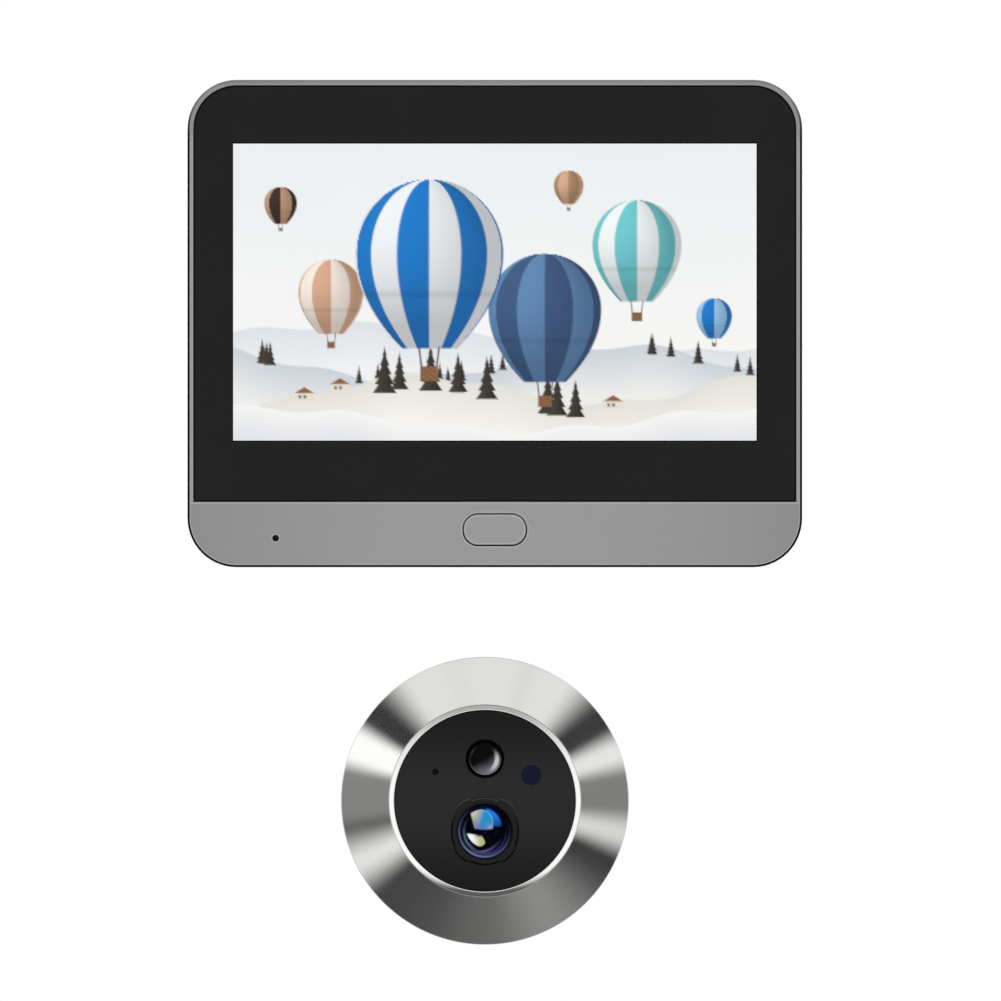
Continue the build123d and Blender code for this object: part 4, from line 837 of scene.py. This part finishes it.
# Ring about its own middle: exp(-((r - radius) / width)^2) exp(-(a / (2 spread))^2), where a is
# the angle from its bright side
def lensPaintedReflections(x, z):
    tones = np.zeros(x.shape + (3,)) + lit(2, 2, 12)
    for rim in lensPaintedRims:
        middleX, middleZ = rim.get("middle", (0, 0))
        r = np.hypot(x - middleX, z - middleZ)
        angle = np.degrees(np.arctan2(z - middleZ, x - middleX))
        away = np.radians((angle - rim["turn"] + 180) % 360 - 180)
        weight = np.exp(-((r - rim["radius"]) / rim["width"]) ** 2) * np.exp(-(away / 2 / rim["spread"]) ** 2)
        tones = np.maximum(tones, weight[..., None] * lit(*rim["tone"]))
    deep = outlineDistance(x, z, lensPaintedPatches["sky"])
    glow = np.clip((z - 0.4) / 2.6, 0, 1)[..., None]
    sky = lit(14, 34, 110) + (lit(36, 124, 226) - lit(14, 34, 110)) * glow
    tones += np.clip(0.5 - deep / 0.3, 0, 1)[..., None] * (sky - tones)
    near = outlineDistance(x, z, lensPaintedPatches["room"])
    left = np.clip((-0.35 - x + 0.4 * (z - 2.4)) / 1.9, 0, 1)[..., None]
    foot = np.clip((2.0 - z) / 1.6, 0, 1)[..., None]
    room = lit(34, 146, 204) + (lit(204, 198, 178) - lit(34, 146, 204)) * left
    brown = left * np.clip((2.9 - z) / 1.3, 0, 1)[..., None] * np.clip((z - 0.5) / 0.9, 0, 1)[..., None]
    room = room + (lit(146, 122, 96) - room) * brown * 0.75
    room = room + (lit(120, 104, 152) - room) * foot * (0.45 + 0.5 * np.clip(left * 1.6, 0, 1))
    pale = np.exp(-((x - 0.95) / 0.55) ** 2 - ((z - 0.75) / 0.5) ** 2)[..., None]
    room = room + (lit(150, 176, 222) - room) * pale * 0.7
    shine = np.exp(-((near + 0.1) / 0.07) ** 2) * np.clip((x + z - 1.9) / 2.0, 0, 1) * 0.7
    room = room + shine[..., None] * (lit(150, 214, 240) - room)
    tones += np.clip(0.5 - near / 0.26, 0, 1)[..., None] * (room - tones)
    low = outlineDistance(x, z, lensPaintedPatches["floor"])
    right = np.clip((x + 2.3) / 1.5, 0, 1)[..., None]
    floorTone = lit(246, 254, 255) + (lit(192, 188, 132) - lit(246, 254, 255)) * right
    violet = np.exp(-((x + 1.15) / 0.6) ** 2 - ((z + 0.75) / 0.32) ** 2)[..., None]
    floorTone = floorTone + violet * (lit(140, 104, 150) - floorTone)
    tones += np.clip(0.5 - low / 0.26, 0, 1)[..., None] * (floorTone - tones)
    return tones


lens = {"curve": 12 * mm, "backGap": 0.2 * mm, "dishDepth": 1.15 * mm, "dishBow": 0.35 * mm,
        "dishShare": 0.995}


def makeLens():
    low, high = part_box("lens_front")
    axisX, axisZ = middleOf(low, high)
    radius = (high.x - low.x) / 2
    curve = lens["curve"]
    t = np.linspace(0, 1, 40)
    # front face of the glass: y = front + curve - sqrt(curve^2 - r^2)
    bow = low.y + curve - np.sqrt(curve ** 2 - (radius * t) ** 2)
    profile = np.stack([radius * t, bow], -1)
    back = np.array([(radius, high.y - lens["backGap"]), (0, high.y - lens["backGap"])])
    points = turnedPoints(np.concatenate([profile, back]), axisX, axisZ, 128)
    glass = pieceFromGrid("lens_glass_front", points, closedColumns=True)
    dress(glass, clearFinish(), "door_fixed", "lens_glass", "lens_front")
    # the coated inside: a shallow dish that carries the glowing painted reflections, y = front + depth + bow
    # (1 - (r / R)^2)
    t = np.linspace(0, 1, 90)
    dishY = low.y + lens["dishDepth"] + lens["dishBow"] * (1 - t ** 2)
    dish = np.stack([radius * lens["dishShare"] * t, dishY], -1)
    points = turnedPoints(dish, axisX, axisZ, 256)
    tones = lensPaintedReflections((points[..., 0] - axisX) / mm, (points[..., 2] - axisZ) / mm)
    inside = pieceFromGrid("lens_painted_reflections", points, closedColumns=True, faceFront=True, tones=tones)
    # the dish's painted reflections glow though it is no lamp
    glowingReflection = paintedFinish("lens_painted_reflections", 1.0, 0.08, 0.01, 0.0)
    dress(inside, glowingReflection, "door_fixed", "lens_glass", "lens_rear")


# Dome's painted light: painted shade black above and grey low down, a fine painted highlight line along the
# foot, a dim painted highlight arc at the left, and a painted highlight crescent near the right edge, between
# one circle and a smaller one set to its left
def domePaintedLight(x, z):
    r = np.hypot(x, z)
    angle = np.degrees(np.arctan2(z, x))
    low = np.clip((0.15 - z + 0.55 * x) / 3.1, 0, 1) * (0.35 + 0.65 * np.clip(r / 1.9, 0, 1))
    tones = lit(10, 10, 12) + (lit(132, 133, 137) - lit(10, 10, 12)) * (low ** 1.4)[..., None]
    away = np.radians((angle + 18 + 180) % 360 - 180)
    inner = np.hypot(x + 0.62, z - 0.16) - 2.38
    paintedCrescent = np.clip(inner / 0.34 + 0.3, 0, 1) * np.clip((2.64 - r) / 0.14, 0, 1)
    paintedCrescent = paintedCrescent * np.exp(-np.abs(away / 0.74) ** 3)
    tones = tones + paintedCrescent[..., None] * (lit(206, 206, 210) - tones)
    foot = np.exp(-((r - 2.78) / 0.08) ** 2) * np.exp(-(((angle + 105 + 180) % 360 - 180) / 48) ** 2)
    left = np.exp(-((r - 2.62) / 0.18) ** 2) * np.exp(-(((angle - 152 + 180) % 360 - 180) / 19) ** 2)
    tones = np.maximum(tones, foot[..., None] * lit(140, 140, 143))
    return np.maximum(tones, left[..., None] * lit(52, 52, 55))


dome = {"rise": 1.1 * mm, "collar": 0.3 * mm, "collarThick": 0.25 * mm, "steps": 128}


# Front: y = front + curve - sqrt(curve^2 - r^2), with curve from its radius and rise
def makeDome():
    low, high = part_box("sensor_dome")
    axisX, axisZ = middleOf(low, high)
    radius = (high.x - low.x) / 2
    curve = (radius ** 2 + dome["rise"] ** 2) / (2 * dome["rise"])
    t = np.linspace(0, 1, 60)
    bow = low.y + curve - np.sqrt(curve ** 2 - (radius * t) ** 2)
    collarY = high.y - dome["collarThick"]
    collar = [(radius, collarY), (radius + dome["collar"], collarY), (radius + dome["collar"], high.y)]
    profile = np.concatenate([np.stack([radius * t, bow], -1), collar, [(0, high.y)]])
    points = turnedPoints(profile, axisX, axisZ, dome["steps"])
    tones = domePaintedLight((points[..., 0] - axisX) / mm, (points[..., 2] - axisZ) / mm)
    piece = pieceFromGrid("sensor_dome_shell", points, closedColumns=True, tones=tones)
    # the dome's stored colour is painted shade and highlights
    plastic = paintedFinish("dome_plastic", 0.0, 0.3, 0.03)
    dress(piece, plastic, "door_fixed", "dome_plastic", "sensor_dome")


# The barrel with its thread: radius = crest - depth tooth(turn), tooth rising and falling
# once for each 1.5 mm along the axis and once for each turn
thread = {"pitch": 1.5 * mm, "depth": 0.45 * mm, "around": 96, "perTurn": 18, "bare": 1.0 * mm,
          "crest": 7.0 * mm, "bore": 5.3 * mm, "tip": 0.6 * mm, "tipFall": 0.5 * mm,
          "flangeRadius": 12.5 * mm, "flange": 1.4 * mm}


def makeBarrel():
    low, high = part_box("threaded_barrel")
    axisX, axisZ = middleOf(low, high)
    crest = thread["crest"]
    start = low.y + thread["flange"] + thread["bare"]
    end = high.y - thread["tip"]
    rows = int((end - start) / thread["pitch"] * thread["perTurn"])
    y = np.linspace(start, end, rows)[:, None]
    angle = np.linspace(0, 2 * pi, thread["around"], endpoint=False)[None, :]
    phase = np.mod(y / thread["pitch"] - angle / (2 * pi), 1)
    flank = np.clip(np.abs(2 * phase - 1) * 1.4 - 0.2, 0, 1)
    tooth = flank * flank * (3 - 2 * flank)
    fade = np.clip((y - start) / thread["pitch"], 0, 1) * np.clip((end - y) / thread["pitch"], 0, 1)
    radius = crest - thread["depth"] * tooth * fade
    screwed = np.stack([axisX + radius * np.cos(angle), np.broadcast_to(y, radius.shape),
                        axisZ + radius * np.sin(angle)], -1)
    before = np.array([(thread["bore"], high.y), (thread["bore"], low.y), (thread["flangeRadius"], low.y),
                       (thread["flangeRadius"], low.y + thread["flange"]), (crest, low.y + thread["flange"])])
    after = np.array([(crest - thread["tipFall"], high.y)])
    points = np.concatenate([turnedPoints(before, axisX, axisZ, thread["around"]), screwed,
                             turnedPoints(after, axisX, axisZ, thread["around"])])
    piece = pieceFromGrid("barrel_thread", points, closedRows=True, closedColumns=True)
    dress(piece, finishes["barrel_metal"], "door_fixed", "barrel_metal", "threaded_barrel")


finishes = {name: plainFinish(name, **look) for name, look in plainFinishes.items()}
finishes["board"] = boardFinish()
finishes["frame_metal"] = frameFinish()
finishes["button_metal"] = buttonFinish()
finishes["cover_glass"] = glassFinish()
finishes["window_acrylic"] = windowFinish()
finishes["filter_blue"] = filterFinish()
finishes["lens_black"] = flangeFinish()
for entry in frame["record"]["subparts"]:
    if entry["material_slot"] in finishes:
        dressNode(entry["node"], finishes[entry["material_slot"]])
dressNode("sensor_bezel", finishes["bezel_black"])
dressNode("microphone", micFinish("microphone_can", "microphone", 0.003))
dressNode("outdoor_microphone", micFinish("outdoor_microphone_can", "outdoor_microphone", 0.2))
print("finishes ready:", len(finishes))

makeScreen()
print("screen picture drawn")
makeTrimRing()
makeLens()
makeDome()
makeBarrel()
print("outdoor unit's pieces made")


# The studio: what polished metal mirrors is a ring of soft lights seen from the round unit,
# given by direction about -Y in degrees, and everything else is evenly lit. Each pair of tilts
# is where one band fades into the next.
studio = {
    "front": 0.8, "base": 0.03, "frontTilt": (38.0, 52.0), "cardTilt": (72.8, 74.2), "lipTilt": (92.0, 96.0),
    "cards": [
        {"turn": 4, "half": 12, "soft": 6, "level": 0.18},
        {"turn": 20.4, "half": 6.1, "soft": 5.0, "level": 0.81},
        {"turn": 88.4, "half": 41.7, "soft": 9, "level": 0.783},
        {"turn": 72, "half": 4, "soft": 4, "level": -0.05},
        {"turn": 102, "half": 5, "soft": 5, "level": -0.035},
        {"turn": 157.2, "half": 8.0, "soft": 4.2, "level": 1.05},
        {"turn": 177, "half": 12, "soft": 5, "level": 0.2},
        {"turn": 193, "half": 5, "soft": 5, "level": 0.05},
        {"turn": 206, "half": 8, "soft": 8, "level": 0.8},
        {"turn": 230, "half": 12, "soft": 8, "level": 0.022},
        {"turn": 280, "half": 31, "soft": 22, "level": 0.104},
        {"turn": 302, "half": 17, "soft": 17, "level": 0.15},
        {"turn": 346.3, "half": 6, "soft": 5.5, "level": 0.69},
    ],
    "lip": 1.04, "lipFoot": 0.116, "footHalf": 41, "footNarrows": 2.3, "footSoft": 15, "footTilt": 76.0,
    "lipTop": 0.46, "topHalf": 48, "topSoft": 34,
    "behind": 0.5, "behindRise": 0.35,
}


def makeWorld():
    world = bpy.data.worlds.new("studio")
    bpy.context.scene.world = world
    world.use_nodes = True
    paint = Paint(world.node_tree)
    x, y, z = paint.split(paint.add("ShaderNodeTexCoord")["Generated"])
    tilt = (0.0 - y).maths("ARCCOSINE") * (180 / pi)
    turn = z.maths("ARCTAN2", x) * (180 / pi)

    def sector(centre, half, soft):
        away = abs((turn - centre).maths("WRAP", 180.0, -180.0))
        return away.step(half + soft, half - soft)

    cards = studio["base"]
    for card in studio["cards"]:
        cards = sector(card["turn"], card["half"], card["soft"]) * card["level"] + cards
    # the lip mirrors the lights opposite, so its foot shows what is above and its top what is below;
    # its crown turns the inner edge further away, where the dark stretch is narrower
    footHalf = studio["footHalf"] - (tilt - studio["footTilt"]).larger(0.0) * studio["footNarrows"]
    lip = sector(90, footHalf, studio["footSoft"]) * (studio["lipFoot"] - studio["lip"]) + studio["lip"]
    top = sector(270, studio["topHalf"], studio["topSoft"])
    lip = lip + top * (studio["lipTop"] - studio["lip"])
    bands = ("frontTilt", "cardTilt", "lipTilt")
    pastFront, pastCards, pastLip = (tilt.step(*studio[band]) for band in bands)
    level = (1.0 - pastFront) * studio["front"]
    level = level + pastFront * (1.0 - pastCards) * cards
    level = level + pastCards * (1.0 - pastLip) * lip
    level = level + pastLip * (z * studio["behindRise"] + studio["behind"])
    rays = paint.add("ShaderNodeLightPath")
    even = paint.join(1.0, 1.0, 1.0)
    mirrored = paint.join(level, level, level)
    seen = paint.mix(rays["Is Glossy Ray"], even, mirrored)
    light = paint.add("ShaderNodeBackground", None, {"Color": seen, "Strength": 1.0})["Background"]
    paint.add("ShaderNodeOutputWorld", None, {"Surface": light})
    world.cycles.sampling_method = "NONE"


stageFloor = {"reach": 1.5, "drop": 0.4 * mm, "dark": (0.9, 0.9, 0.9, 1), "pale": (0.93, 0.93, 0.93, 1)}


def makeFloor():
    low, high = cadBounds
    edges = np.array([-1, 1]) * stageFloor["reach"]
    x, y = np.meshgrid(edges, edges)
    points = np.stack([x, y, np.full_like(x, low.z - stageFloor["drop"])], -1)
    mesh = bpy.data.meshes.new("floor")
    mesh.from_pydata(points.reshape(-1, 3).tolist(), [], [(0, 1, 3, 2)])
    floor = bpy.data.objects.new("floor", mesh)
    bpy.context.scene.collection.objects.link(floor)
    material, paint = newFinish("floor")
    cloud = paint.noise(paint.place(), 3, 2.0)
    paint.surface({"Base Color": paint.mix(cloud, stageFloor["dark"], stageFloor["pale"]), "Roughness": 0.9})
    mesh.materials.append(material)
    floor.visible_glossy = False


# The photograph is taken square on, 1001 pixels of 0.1814 mm across
view = {"pixel": 0.1814 * mm, "pixels": 1001, "middleX": 1.03 * mm, "middleZ": -32.1 * mm, "distance": 0.6}


def makeCamera():
    camera = bpy.data.cameras.new("camera")
    camera.type = "ORTHO"
    camera.ortho_scale = view["pixel"] * view["pixels"]
    camera.clip_end = 10
    holder = bpy.data.objects.new("camera", camera)
    holder.location = (view["middleX"], -view["distance"], view["middleZ"])
    holder.rotation_euler = (pi / 2, 0, 0)
    bpy.context.scene.collection.objects.link(holder)
    bpy.context.scene.camera = holder


# The two units were photographed apart, so neither mirrors the other
for body in ("monitor", "button", "knob", "card"):
    for node in frame["bodies"][body].children:
        node.visible_glossy = False
makeWorld()
makeFloor()
makeCamera()
bpy.context.scene.view_settings.view_transform = "Standard"
print("studio and camera ready")
